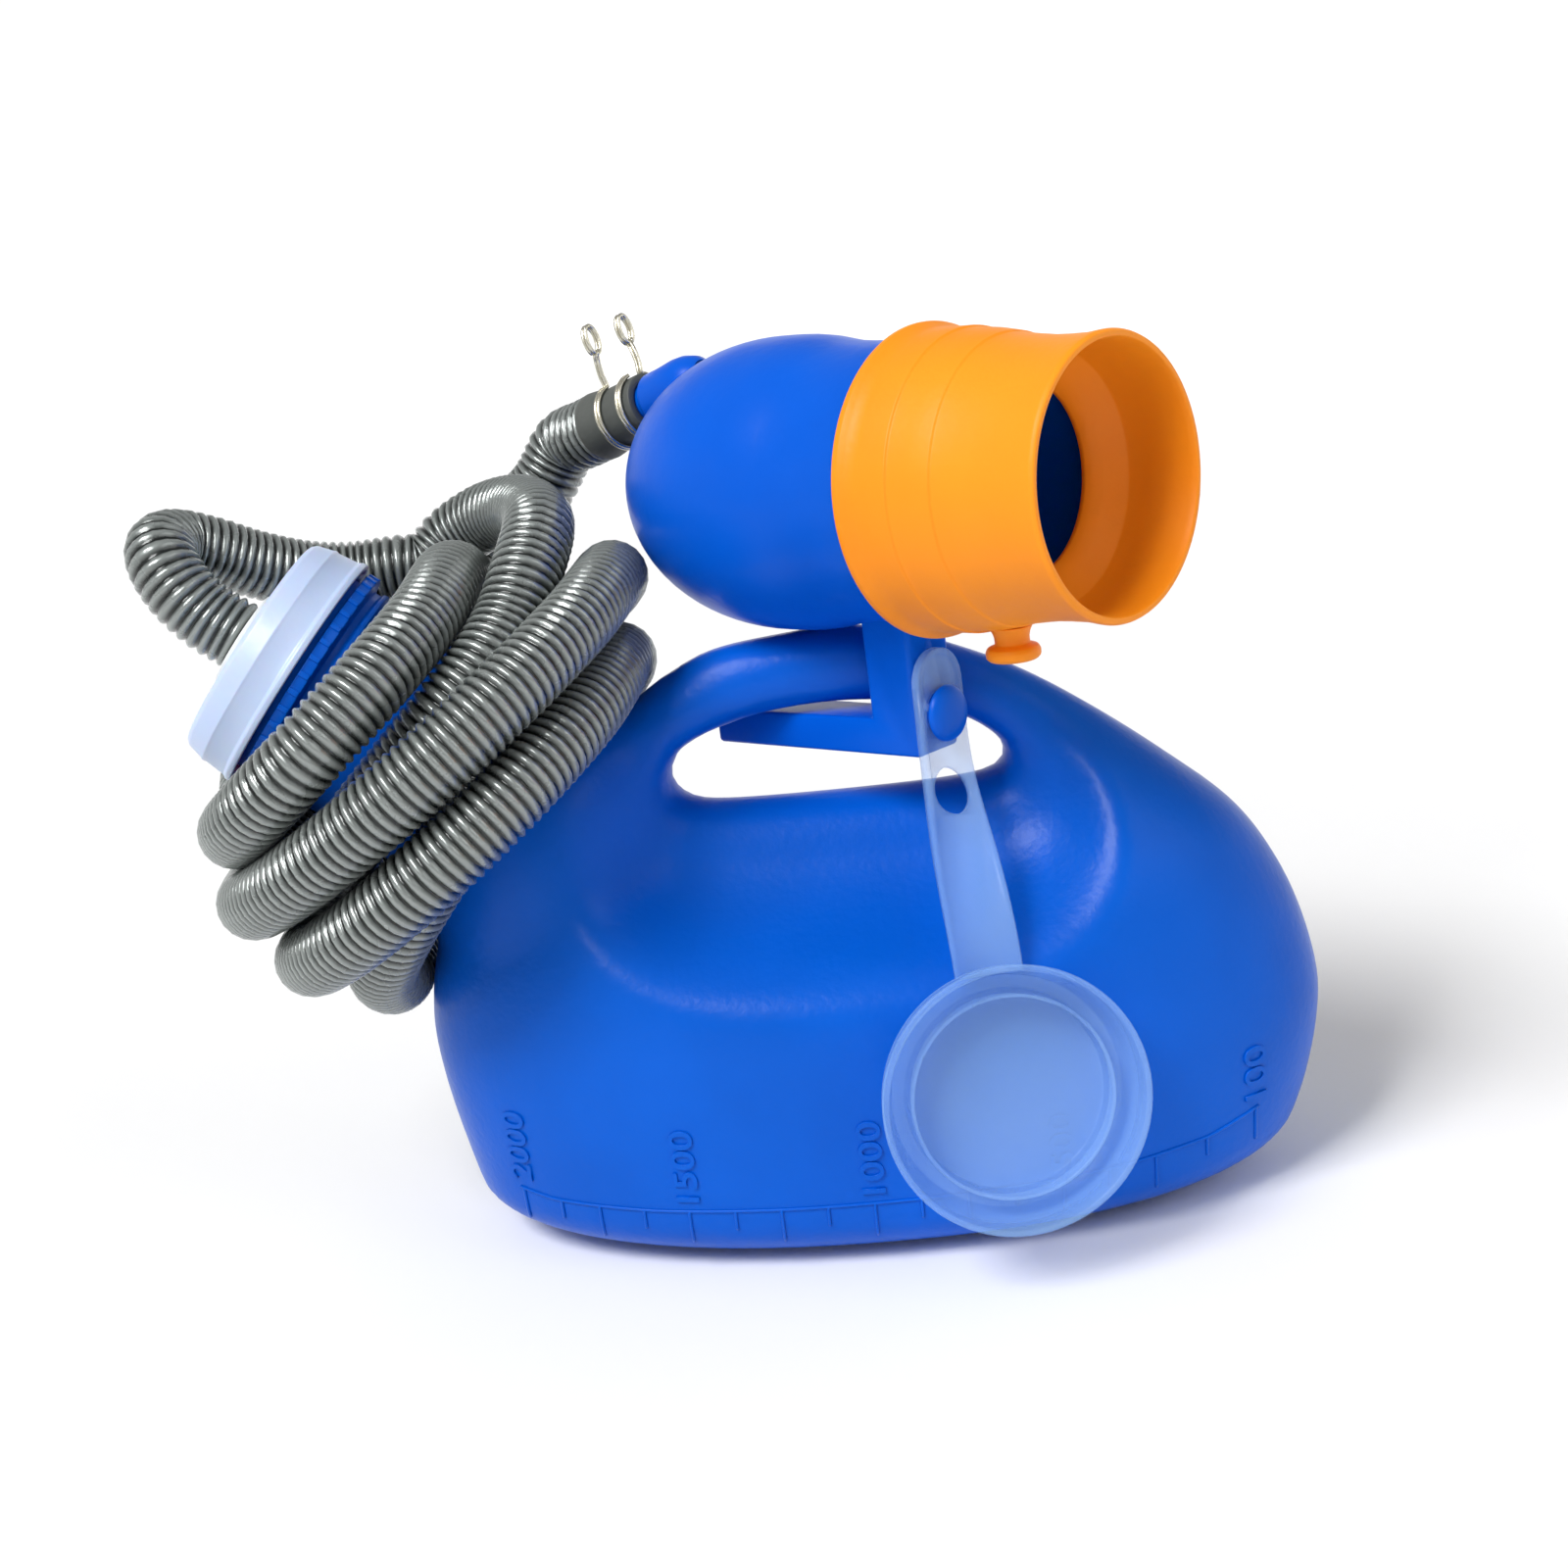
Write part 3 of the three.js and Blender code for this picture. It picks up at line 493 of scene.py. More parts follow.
def outline_distance(x, z):
    """Distance to the finger hole's outline, negative inside it."""
    nearest = np.full(len(x), np.inf)
    inside = np.zeros(len(x), bool)
    for (ax, az), (bx, bz) in zip(HOLE_LINE, np.roll(HOLE_LINE, 1, axis=0)):
        ex, ez = bx - ax, bz - az
        t = np.clip(((x - ax) * ex + (z - az) * ez) / (ex * ex + ez * ez), 0, 1)
        nearest = np.minimum(nearest, np.hypot(x - ax - ex * t, z - az - ez * t))
        if abs(ez) > 1e-9:
            crosses = ((az > z) != (bz > z)) & (x < ax + ex * (z - az) / ez)
            inside ^= crosses
    return np.where(inside, -nearest, nearest)


def bottle_field(p):
    """Negative inside the bottle's outer surface."""
    x, y, z = p[:, 0], p[:, 1], p[:, 2]
    left, right, half = level_at(z)
    reach = np.where(x < 0, left, right)
    above = np.maximum(z - LEVELS[-1, 0], 0)
    plan = np.sqrt((np.abs(x) / reach) ** PLAN_POWER + (y / half) ** 2)
    body = (plan - 1) * np.minimum(half, STEEPEST) + above
    out = outline_distance(x, z)
    edge = 1 - np.minimum(out / HOLE_ROUND, 1)
    depth = BAR_HALF + HOLLOW_RISE * np.maximum(out - HOLLOW_FLAT, 0) ** 2
    hollow = (np.hypot(y / depth, edge) - 1) * np.minimum(depth, STEEPEST)
    body = smooth_max(body, hollow, HOLE_BLEND)
    px, pz = x - CAP_EDGE[0], z - CAP_EDGE[2]
    along = np.clip(px * neck_axis[0] + pz * neck_axis[2], NECK_ROOT, NECK_STUB)
    from_axis = np.sqrt((px - along * neck_axis[0]) ** 2 + (pz - along * neck_axis[2]) ** 2 + y**2)
    body = smooth_min(body, from_axis - NECK_R, NECK_BLEND)
    return smooth_max(body, -z, BASE_ROUND)


def bottle_slope(p):
    """The field's gradient, which points outwards."""
    return np.stack([(bottle_field(p + step) - bottle_field(p - step)) / (2 * SLOPE_STEP)
                     for step in np.eye(3) * SLOPE_STEP], axis=1)


def onto_bottle(p, steps=6, most=1.2):
    """Moves points onto the bottle's surface."""
    for _ in range(steps):
        g = bottle_slope(p)
        move = g * (-bottle_field(p) / np.maximum((g * g).sum(1), 0.05))[:, None]
        size = np.linalg.norm(move, axis=1)
        p = p + move * np.minimum(1, most / np.maximum(size, 1e-9))[:, None]
    return p


GRID_PARTS = 12  # the grid's field is worked out in parts, to save memory


def surface_net(low, high, step, field):
    """Surface nets on an even grid: points and quads."""
    axes = [np.arange(a, b + step, step) for a, b in zip(low, high)]
    shape = tuple(len(a) for a in axes)
    grid = np.stack(np.meshgrid(*axes, indexing="ij"), axis=-1).reshape(-1, 3)
    value = np.concatenate([field(part) for part in np.array_split(grid, GRID_PARTS)]).reshape(shape)
    solid = value < 0
    cell = tuple(n - 1 for n in shape)
    total = np.zeros(cell + (3,))
    count = np.zeros(cell)

    def corner(a, c):
        return a[c[0]:c[0] + cell[0], c[1]:c[1] + cell[1], c[2]:c[2] + cell[2]]

    for axis in range(3):
        for c in np.ndindex(2, 2, 2):
            if c[axis]:
                continue
            d = list(c)
            d[axis] = 1
            va, vb = corner(value, c), corner(value, d)
            crossed = (va < 0) != (vb < 0)
            t = np.where(crossed, va / np.where(crossed, va - vb, 1), 0)
            for k in range(3):
                total[..., k] += np.where(crossed, c[k] + (t if k == axis else 0), 0)
            count += crossed
    used = count > 0
    index = np.full(cell, -1)
    index[used] = np.arange(used.sum())
    where = np.argwhere(used)
    points = (where + total[used] / count[used][:, None]) * step + np.array(low)
    faces = []
    for axis in range(3):
        u, v = [(1, 2), (2, 0), (0, 1)][axis]
        here = solid[1:-1, 1:-1, 1:-1]
        step_to = [slice(1, -1)] * 3
        step_to[axis] = slice(2, None)
        there = solid[tuple(step_to)]
        for i, j, k in np.argwhere(here != there):
            cellpos = np.array([i + 1, j + 1, k + 1])
            du, dv = np.zeros(3, int), np.zeros(3, int)
            du[u], dv[v] = 1, 1
            quad = [index[tuple(cellpos - du - dv)], index[tuple(cellpos - dv)],
                    index[tuple(cellpos)], index[tuple(cellpos - du)]]
            faces.append(tuple(quad if here[i, j, k] else quad[::-1]))
    return points, faces


NET_STEP = 3.1
NET_LOW, NET_HIGH = (-152, -68, -12), (136, 68, 176)
BASE_SNAP = 0.3  # points this low belong to the flat base
NECK_TEETH = 40
COLLAR_R = 31.8
TOOTH_R = 31.7


def make_bottle():
    points, faces = surface_net(NET_LOW, NET_HIGH, NET_STEP, bottle_field)
    points = onto_bottle(points)
    points[:, 2] = np.where(points[:, 2] < BASE_SNAP, 0, points[:, 2])
    return mesh_object("bottle_surface", points, [tuple(int(i) for i in f) for f in faces])


def make_neck():
    """The neck's tube, with its toothed collar and the mouth under the cap."""
    mouth = CAP_DEPTH - CAP_WALL - 1.6
    profile = [
        (NECK_BORE, NECK_STUB - 2), (NECK_R - 1, NECK_STUB - 2), (NECK_R, NECK_STUB), (NECK_R, -9.4),
        (NECK_R + 0.9, -8.8), (NECK_R + 0.9, -7.6),
        (NECK_R, -7), (NECK_R, -5.2), (COLLAR_R, -4.6), (COLLAR_R, -1.4), (NECK_R, -1.4),
        (NECK_R, mouth - 1.2),
        (NECK_R - 0.8, mouth), (NECK_BORE, mouth), (NECK_BORE, NECK_STUB - 2),
    ]
    pieces = [turned("neck_tube", profile, NECK_SIDES, neck_frame, 0.35)]
    for k in range(NECK_TEETH):
        a = 2 * math.pi * k / NECK_TEETH
        place = neck_frame @ Matrix.Rotation(a, 4, "Z") @ Matrix.Translation((TOOTH_R, 0, -3))
        pieces.append(rounded_box("tooth", (-0.4, -0.8, -1.5), (0.5, 0.8, 1.5), place, 0.3))
    return merge("bottle_neck", pieces)


def rounded_box(name, low, high, matrix, edge):
    """A box between two corners, with its edges rounded."""
    xs, ys, zs = zip(low, high)
    corners = [(x, y, z) for x in xs for y in ys for z in zs]
    faces = [(0, 1, 3, 2), (4, 6, 7, 5), (0, 4, 5, 1), (2, 3, 7, 6), (0, 2, 6, 4), (1, 5, 7, 3)]
    obj = mesh_object(name, transform_points(corners, matrix), faces)
    clean(obj)
    soften(obj, edge)
    return obj


bottle = make_bottle()
neck = make_neck()


# ---- the moulded scale on the bottle's front ----
# where the long line runs, as (x, z), and the x of each tall tick with its number
SCALE_LINE = [(-97, 21.5), (-88, 19.8), (-60, 19), (-20, 19), (20, 19.4), (60, 20.5), (85, 23), (99, 27)]
MARKS = [(-96, "2000"), (-75, None), (-51, "1500"), (-27, None), (-3, "1000"), (21, None), (45.5, "500"),
         (70, None), (98, "100")]
LINE_WIDTH = 0.9
LINE_RISE = 0.5
LINE_STEPS = 120
TALL_TICK, SHORT_TICK, TICK_STEPS = 10, 5.5, 10
NUMBER_SIZE = 8.6
NUMBER_LENGTH = 20.5  # of a number with four digits
NUMBER_FROM_TICK, NUMBER_FROM_LINE = 3.2, 3
NUMBER_SUNK = -0.15  # the rise of a number's hidden underside
NUMBER_DEPTH, NUMBER_EDGE = 0.04, 0.012  # in ems
NUMBER_LONGEST_EDGE = 0.25  # in ems, so that the number can follow the bottle's curve
FRONT_FROM, FRONT_TO = -60.0, -2.0  # the depths between which the front lies
FRONT_HALVINGS = 18


def scale_height(x):
    """Height of the long line at x."""
    xs, zs = zip(*SCALE_LINE)
    return np.interp(x, xs, zs)


def front_points(flat):
    """Points on the bottle's front, from (x, z)."""
    flat = np.asarray(flat, float)
    near, far = np.full(len(flat), FRONT_FROM), np.full(len(flat), FRONT_TO)
    p = np.stack([flat[:, 0], near, flat[:, 1]], axis=1)
    for _ in range(FRONT_HALVINGS):
        middle = (near + far) / 2
        p[:, 1] = middle
        inside = bottle_field(p) < 0
        far = np.where(inside, middle, far)
        near = np.where(inside, near, middle)
    p[:, 1] = (near + far) / 2
    return p


def raised(flat, rise):
    """Points of the front, raised along its normal."""
    p = front_points(flat)
    g = bottle_slope(p)
    g /= np.linalg.norm(g, axis=1)[:, None]
    return p + g * np.asarray(rise, float)[:, None]


def raised_strip(line, width):
    """A low rounded rib that follows the front along a flat line of (x, z)."""
    line = np.asarray(line, float)
    run = np.gradient(line, axis=0)
    run /= np.linalg.norm(run, axis=1)[:, None]
    side = np.stack([-run[:, 1], run[:, 0]], axis=1)
    across = [(-0.5, -0.15), (-0.36, 0.75), (0, 1), (0.36, 0.75), (0.5, -0.15)]
    flat = np.concatenate([line + side * (a * width) for a, _ in across])
    rise = np.concatenate([np.full(len(line), b * LINE_RISE) for _, b in across])
    points = raised(flat, rise)
    n, rows = len(line), len(across)
    faces = [(r * n + i, r * n + i + 1, (r + 1) % rows * n + i + 1, (r + 1) % rows * n + i)
             for r in range(rows) for i in range(n - 1)]
    faces.append(tuple(r * n for r in range(rows)))
    faces.append(tuple(r * n + n - 1 for r in reversed(range(rows))))
    return points, faces


def number_mesh(text):
    """Fine triangles of a number with a little depth, in ems."""
    curve = bpy.data.curves.new("number", "FONT")
    curve.body = text
    curve.align_x = "LEFT"
    curve.align_y = "BOTTOM"
    curve.extrude = NUMBER_DEPTH
    curve.bevel_depth = NUMBER_EDGE
    curve.resolution_u = 4
    obj = bpy.data.objects.new("number", curve)
    bpy.context.collection.objects.link(obj)
    graph = bpy.context.evaluated_depsgraph_get()
    mesh = bpy.data.meshes.new_from_object(obj.evaluated_get(graph))
    bpy.data.objects.remove(obj)
    bm = bmesh.new()
    bm.from_mesh(mesh)
    bmesh.ops.triangulate(bm, faces=bm.faces)
    long_edges = [e for e in bm.edges if e.calc_length() > NUMBER_LONGEST_EDGE]
    bmesh.ops.subdivide_edges(bm, edges=long_edges, cuts=2)
    bmesh.ops.triangulate(bm, faces=bm.faces)
    points = np.array([v.co[:] for v in bm.verts])
    faces = [tuple(v.index for v in f.verts) for f in bm.faces]
    bm.free()
    return points, faces


def make_scale():
    """The line, its ticks and the numbers, all proud of the surface."""
    points, faces = [], []

    def add(more):
        base = sum(len(p) for p in points)
        points.append(more[0])
        faces.extend(tuple(i + base for i in f) for f in more[1])

    xs = np.linspace(SCALE_LINE[0][0], SCALE_LINE[-1][0], LINE_STEPS)
    add(raised_strip(np.stack([xs, scale_height(xs)], axis=1), LINE_WIDTH))
    places = [x for x, _ in MARKS]
    middles = [(a + b) / 2 for a, b in zip(places, places[1:])]
    for x, drop in [(x, TALL_TICK) for x in places] + [(x, SHORT_TICK) for x in middles]:
        top = scale_height(x)
        zs = np.linspace(top, top - drop, TICK_STEPS)
        add(raised_strip(np.stack([np.full(TICK_STEPS, x), zs], axis=1), LINE_WIDTH))
    for x, text in MARKS:
        if not text:
            continue
        flat, tris = number_mesh(text)
        wide = flat[:, 0].max() - flat[:, 0].min()
        stretch = NUMBER_LENGTH * len(text) / 4 / (wide * NUMBER_SIZE)
        up = (flat[:, 0] - flat[:, 0].min()) * NUMBER_SIZE * stretch
        left = (flat[:, 1] - flat[:, 1].min()) * NUMBER_SIZE
        where = np.stack([x + NUMBER_FROM_TICK - left, scale_height(x) + NUMBER_FROM_LINE + up], axis=1)
        rise = np.where(flat[:, 2] > 0, LINE_RISE + 0.1, NUMBER_SUNK)
        add((raised(where, rise), tris))
    return mesh_object("bottle_scale", np.concatenate(points), faces)


scale = make_scale()


# ---- the caps ----
CAP_BORE = 7.2  # radius of the hole in the neck cap's face
TAB_TURN = math.radians(35)


def cap_profile(hole):
    """Half outline of a press-on cap about +Z, from its open edge at 0 to its face."""
    t = CAP_WALL
    plug_out = NECK_BORE - GAP
    plug_in = plug_out - 1.4
    floor = CAP_DEPTH - t
    return [
        (hole, CAP_DEPTH), (hole, floor), (plug_in, floor), (plug_in + 0.2, 5), (plug_out - 0.2, 5),
        (plug_out, floor), (CAP_FACE_R - t - 0.1, floor), (CAP_EDGE_R - t, 0), (CAP_EDGE_R, 0),
        (CAP_EDGE_R, 1.6), (CAP_EDGE_R - 0.7, 2.4), (CAP_EDGE_R - 1.35, 8.2), (CAP_EDGE_R - 1.1, 9),
        (CAP_EDGE_R - 1.5, 9.8), (CAP_FACE_R, CAP_DEPTH - 1.2),
        (CAP_FACE_R - 1.2, CAP_DEPTH), (CAP_FACE_R - 5, CAP_DEPTH), (CAP_FACE_R - 6, CAP_DEPTH - 0.4),
        (CAP_FACE_R - 7, CAP_DEPTH),
    ]


def make_neck_cap():
    """The neck's cap, with a hole for the barbed fitting and a small pull tab."""
    profile = cap_profile(CAP_BORE)
    cap = turned("cap", profile + [profile[0]], LARGE_SIDES, neck_frame, 0.35)
    tab_place = neck_frame @ Matrix.Rotation(TAB_TURN, 4, "Z")
    tab = rounded_box("tab", (29.5, -4.5, 0.2), (34.4, 4.5, 2.6), tab_place, 0.8)
    return merge("neck_cap_moulding", [cap, tab])


def make_barb():
    """The hollow fitting through the cap: a flange and two barbs inside the hose."""
    face = CAP_DEPTH + GAP
    flange = face + BARB_FLANGE
    profile = [
        (4.8, -1), (6.9, -1), (6.9, face), (13, face), (13, flange), (6, flange), (6, face + 5),
        (6.8, face + 5), (6, face + 8), (6.7, face + 8), (5.6, face + 11), (4.8, face + 11), (4.8, -1),
    ]
    return turned("hose_barb_moulding", profile, FITTING_SIDES, neck_frame, 0.3)


neck_cap = make_neck_cap()
barb = make_barb()


# ---- the collector ----
def bulb_profile(inset):
    """Half outline of the bulb from its rear to its tube, moved inwards by an inset."""
    points = []
    rear, radius = BULB_REAR - inset, BULB_R - inset
    for i in range(QUARTER_STEPS + 1):
        angle = math.pi / 2 * i / QUARTER_STEPS
        points.append((radius * math.sin(angle), -rear * math.cos(angle)))
    points += [(radius, 5), (radius - 0.15, 9), (radius - 0.7, 14), (radius - 1.5, 18), (radius - 2.3, 22),
               (radius - 2.7, 27), (MOUTH_R - inset, 33)]
    return points


HOOK_TOP = -31  # inside the bulb's wall


def make_hook():
    """The post that hangs from the bulb and the flat arm that runs back under the handle."""
    outline = [(LEG_BACK, LEG_BOTTOM), (POST_TO, LEG_BOTTOM), (POST_TO, HOOK_TOP), (POST_FROM, HOOK_TOP),
               (POST_FROM, LEG_TOP), (LEG_BACK, LEG_TOP)]
    n = len(outline)
    points = [(x, y, z) for y in (-POST_HALF, POST_HALF) for x, z in outline]
    faces = [(k, (k + 1) % n, n + (k + 1) % n, n + k) for k in range(n)]
    faces += [(0, 1, 4, 5), (1, 2, 3, 4), (n + 5, n + 4, n + 1, n), (n + 4, n + 3, n + 2, n + 1)]
    hook = mesh_object("hook", transform_points(points, collector_frame), faces)
    clean(hook)
    soften(hook, 1.4)
    return hook


def make_collector():
    """The bulb with its spigot, hook and stud as one body, and the spigot's bore through it."""
    profile = bulb_profile(0) + [(MOUTH_R, MOUTH_END), (MOUTH_R - BULB_WALL, MOUTH_END)]
    profile += list(reversed(bulb_profile(BULB_WALL)))
    bulb = turned("collector_moulding", profile, LARGE_SIDES, collector_turned, 0.4)
    spigot = turned("spigot", [
        (0, -4), (4, -3.2), (6, -1), (7.2, 2.5), (7.5, 6), (7.2, 12), (7.2, 17), (SPIGOT_R, 18.5),
        (SPIGOT_R, 32), (0, 32),
    ], SMALL_SIDES, spigot_frame, 0.5)
    stud = turned("stud", [
        (0, -1), (4.6, -1), (4.6, 2.8), (7.3, 3.4), (6.9, 4.7), (5.6, 5.7), (3.4, 6.2), (0, 6.4),
    ], SMALL_SIDES, collector_frame @ Matrix.Translation((POST_TO, 0, STUD_DROP)) @ ALONG_X, 0.4)
    apply_modifiers(bulb)
    for piece in (spigot, make_hook(), stud):
        apply_modifiers(piece)
        cut(bulb, piece, "UNION")
    bore = [(0, -12), (SPIGOT_BORE, -12), (SPIGOT_BORE, 34), (0, 34)]
    drill = mesh_object("drill", *lathe(bore, BORE_SIDES, spigot_frame))
    clean(drill)
    cut(bulb, drill, "DIFFERENCE")
    return bulb


def make_cuff():
    """The smooth cuff on the spigot, which flares to the hose at its end."""
    bore = SPIGOT_R + GAP
    end = CUFF_FROM + CUFF_LENGTH
    return turned("hose_cuff_sleeve", [
        (bore, CUFF_FROM), (CUFF_R, CUFF_FROM), (CUFF_R + 0.1, CUFF_FROM + 8),
        (CUFF_R + 0.15, CUFF_FROM + 14), (HOSE_R - 0.2, end - 3), (HOSE_R, end - 1), (HOSE_R - 0.2, end),
        (bore, end), (bore, CUFF_FROM),
    ], FITTING_SIDES, spigot_frame, 0.4)


WIRE_R = 0.55
CLAMP_AT = (CUFF_FROM + 3.2, CUFF_FROM + 12.2)
CLAMP_OPENING = 0.3  # half the angle between a ring's two ends
EAR_EYE = (2.1, 3.9)  # half width and half height of the eye that ends each ear
EYE_TURN = 0.94  # how much of a full turn the eye makes
RING_STEPS, EYE_STEPS, WIRE_STEPS = 40, 20, 5
WIRE_SIDES = 10
WIRE_SHIFT = WIRE_R + 0.06  # each ring is two wires side by side


def clamp_path(at, side):
    """Once round the cuff, up one ear and round its eye: (along, across, up) from the spigot's start."""
    around = CUFF_R + GAP + WIRE_R
    ring = []
    for i in range(RING_STEPS + 1):
        angle = math.pi / 2 - side * (CLAMP_OPENING + 2 * (math.pi - CLAMP_OPENING) * i / RING_STEPS)
        ring.append((at, around * math.cos(angle), around * math.sin(angle)))
    ear = [(at, side * 3.0, around + 2.6), (at + side * 0.5, side * 3.2, around + 6.5)]
    eye = []
    for i in range(EYE_STEPS + 1):
        angle = -math.pi / 2 - side * 2 * math.pi * i / EYE_STEPS * EYE_TURN
        across = side * 3.6 + EAR_EYE[0] * math.cos(angle)
        eye.append((at + side * 1.5, across, around + 12.4 + EAR_EYE[1] * math.sin(angle)))
    return list(reversed(ring)) + ear + eye


def make_clamp():
    """A double-wire spring clamp: two rings round the cuff, and two ears that end in eyes."""
    up = np.cross(spigot_direction, (0, 1, 0))
    up = up if up[2] > 0 else -up
    place = collector_frame @ placed(spigot_direction, (0, 1, 0), up, SPIGOT_START)
    pieces = []
    for at, side in zip(CLAMP_AT, (1, -1)):
        for shift in (-WIRE_SHIFT, WIRE_SHIFT):
            line = catmull([(x + shift, y, z) for x, y, z in clamp_path(at, side)], WIRE_STEPS)
            radii = np.full(len(line), WIRE_R)
            points, faces = tube(transform_points(line, place), radii, WIRE_SIDES)
            pieces.append(mesh_object("wire", points, faces))
    return merge("wire_clamp_double", pieces)


KNOB_AT = 64  # along the sleeve


def make_sleeve():
    """The soft sleeve: a rolled rear lip, a shallow waist, a plain rim and a funnel inside."""
    back = MOUTH_R + GAP
    out = back + SLEEVE_WALL
    rear_lip = [
        (out + 1.0, SLEEVE_FROM), (out + 1.6, SLEEVE_FROM + 0.8), (out + 1.7, SLEEVE_FROM + 2.2),
        (out + 1.0, SLEEVE_FROM + 3.4), (out + 0.3, SLEEVE_FROM + 4.6), (out, SLEEVE_FROM + 7),
    ]
    waist = [
        (out, 60), (out - 0.5, 60.4), (out - 0.9, 66), (34.8, 71.5), (34.3, 71.9), (33.6, 78), (33.1, 83),
        (33.0, 88),
    ]
    rim = [(33.1, 94), (33.6, SLEEVE_TO - 2.2), (33.7, SLEEVE_TO - 1), (33.2, SLEEVE_TO), (31.9, SLEEVE_TO)]
    funnel = [
        (31.4, 98), (31.2, 90), (30.9, 85), (30.0, 81.5), (26, 77.6), (24, 75.6), (23, 73.6), (23.2, 72.4),
        (24.2, 72.2), (30, 76), (32.2, 77), (33.2, MOUTH_END + 1.5), (back, MOUTH_END + 1.2),
        (back, SLEEVE_FROM),
    ]
    profile = rear_lip + waist + rim + funnel
    wall = turned("wall", profile + [profile[0]], LARGE_SIDES, collector_turned, 0.3)
    place = collector_frame @ Matrix.Translation((KNOB_AT, 0, -out)) @ Matrix.Rotation(math.pi, 4, "X")
    knob = turned("knob", [
        (0, -1.2), (5.4, -1.2), (4.6, 0.4), (4.3, 1.6), (4.3, 3.2), (6.3, 3.9), (6.8, 5), (6.7, 6.4),
        (5.8, 7.2), (3, 7.4), (0, 7.4),
    ], SMALL_SIDES, place, 0.35)
    return merge("mouth_sleeve_moulding", [wall, knob])


collector = make_collector()
cuff = make_cuff()
clamp = make_clamp()
sleeve = make_sleeve()

# ---- the tethered cap ----
STRAP_T = 1.8
STRAP_HALF = 8.6
STRAP_HOLE_R = 6.1
HOLE_PITCH = 22
STRAP_TOP = 8  # how far the strap's round end lies above the stud
STRAP_STEPS = 40
STRAP_RUN_IN = 22  # how far the strap keeps the cap's direction
CUTTER_HALF = 4

strap_on_post = POST_TO + GAP + STRAP_T / 2
stud_point, strap_end = transform_points(
    [(strap_on_post, 0, STUD_DROP), (strap_on_post, 0, STUD_DROP + STRAP_TOP)], collector_frame)
hung_facing = unit(HUNG_FACING)
to_stud = stud_point - HUNG_CAP
hung_up = unit(to_stud - hung_facing * to_stud.dot(hung_facing))
hung_side = np.cross(hung_up, hung_facing)


def strap_stations():
    """Down the strap: middle, half-width direction and facing."""
    end = HUNG_CAP + hung_up * (CAP_FACE_R - 1.5) + hung_facing * STRAP_T / 2
    a, b, c, d = stud_point, stud_point + (0, -3, -22), end + hung_up * STRAP_RUN_IN, end
    out = []
    for i in range(STRAP_STEPS + 1):
        t = i / STRAP_STEPS
        m = (1 - t) ** 3 * a + 3 * t * (1 - t) ** 2 * b + 3 * t * t * (1 - t) * c + t**3 * d
        run = unit(3 * (1 - t) ** 2 * (b - a) + 6 * t * (1 - t) * (c - b) + 3 * t * t * (d - c))
        x = min(max((t - 0.15) / 0.75, 0), 1)
        turn = x * x * (3 - 2 * x)
        side = aim_side * (1 - turn) + hung_side * turn
        side = unit(side - run * side.dot(run))
        out.append((m, side, -np.cross(side, run)))
    return out


def rim_profile(half, thick):
    """Half of the strap's cross-section, from its edge inwards: a flat back and a raised rim."""
    return [(half, -thick), (half, thick + 0.35), (half - 0.5, thick + 0.5), (half - 1.4, thick + 0.35),
            (half - 1.9, thick - 0.25)]


def make_strap():
    """The strap, with its raised edge rims, its round end and two holes."""
    lead_in = STRAP_STEPS // 10
    hanging = strap_stations()
    stations = [(strap_end, aim_side, aim_axis)] + hanging[lead_in:]
    thick = STRAP_T / 2
    right = rim_profile(STRAP_HALF, thick)
    section = [(-a, b) for a, b in right] + right[::-1]
    points = [m + s * a + f * b for m, s, f in stations for a, b in section]
    n = len(section)
    faces = [(i * n + k, i * n + (k + 1) % n, (i + 1) * n + (k + 1) % n, (i + 1) * n + k)
             for i in range(len(stations) - 1) for k in range(n)]
    faces.append(tuple(range(n)))
    last = (len(stations) - 1) * n
    faces.append(tuple(range(last + n - 1, last - 1, -1)))
    strap = mesh_object("strap", points, faces)
    clean(strap)
    round_end = turned("round_end", [(0, -thick)] + right + [(0, thick - 0.25)], FITTING_SIDES,
                       facing(aim_axis, strap_end), 0.1)
    apply_modifiers(round_end)
    cut(strap, round_end, "UNION")
    length = np.linalg.norm(stud_point - hanging[-1][0])
    second = hanging[round(10 * HOLE_PITCH / length) * lead_in]
    plug = [(0, -CUTTER_HALF), (STRAP_HOLE_R, -CUTTER_HALF), (STRAP_HOLE_R, CUTTER_HALF), (0, CUTTER_HALF)]
    for where, way in ((stud_point, aim_axis), (second[0], second[2])):
        drill = mesh_object("drill", *lathe(plug, SMALL_SIDES, facing(way, where)))
        clean(drill)
        cut(strap, drill, "DIFFERENCE")
    return strap


def make_tethered_cap():
    """The second cap, which hangs on its strap with its open side out."""
    place = facing(-hung_facing, HUNG_CAP + hung_facing * CAP_DEPTH)
    cap = turned("cap", cap_profile(0)[1:] + [(0, CAP_DEPTH)], LARGE_SIDES, place, 0.35)
    return merge("tethered_cap_moulding", [make_strap(), cap])


tethered = make_tethered_cap()


# ---- materials ----
COLOR_DRIFT = 14  # noise scales, in units of 1 / metre
GLOSS_DRIFT = 60


def material(name, color, roughness, **values):
    """A Principled material with the given sockets set."""
    m = bpy.data.materials.new(name)
    m.use_nodes = True
    shader = m.node_tree.nodes["Principled BSDF"]
    shader.inputs["Base Color"].default_value = (*color, 1)
    shader.inputs["Roughness"].default_value = roughness
    for key, value in values.items():
        shader.inputs[key.replace("_", " ")].default_value = value
    return m


def add_node(m, kind, **values):
    """A node with the given inputs or settings."""
    node = m.node_tree.nodes.new(kind)
    for key, value in values.items():
        if key in node.inputs:
            node.inputs[key].default_value = value
        else:
            setattr(node, key, value)
    return node


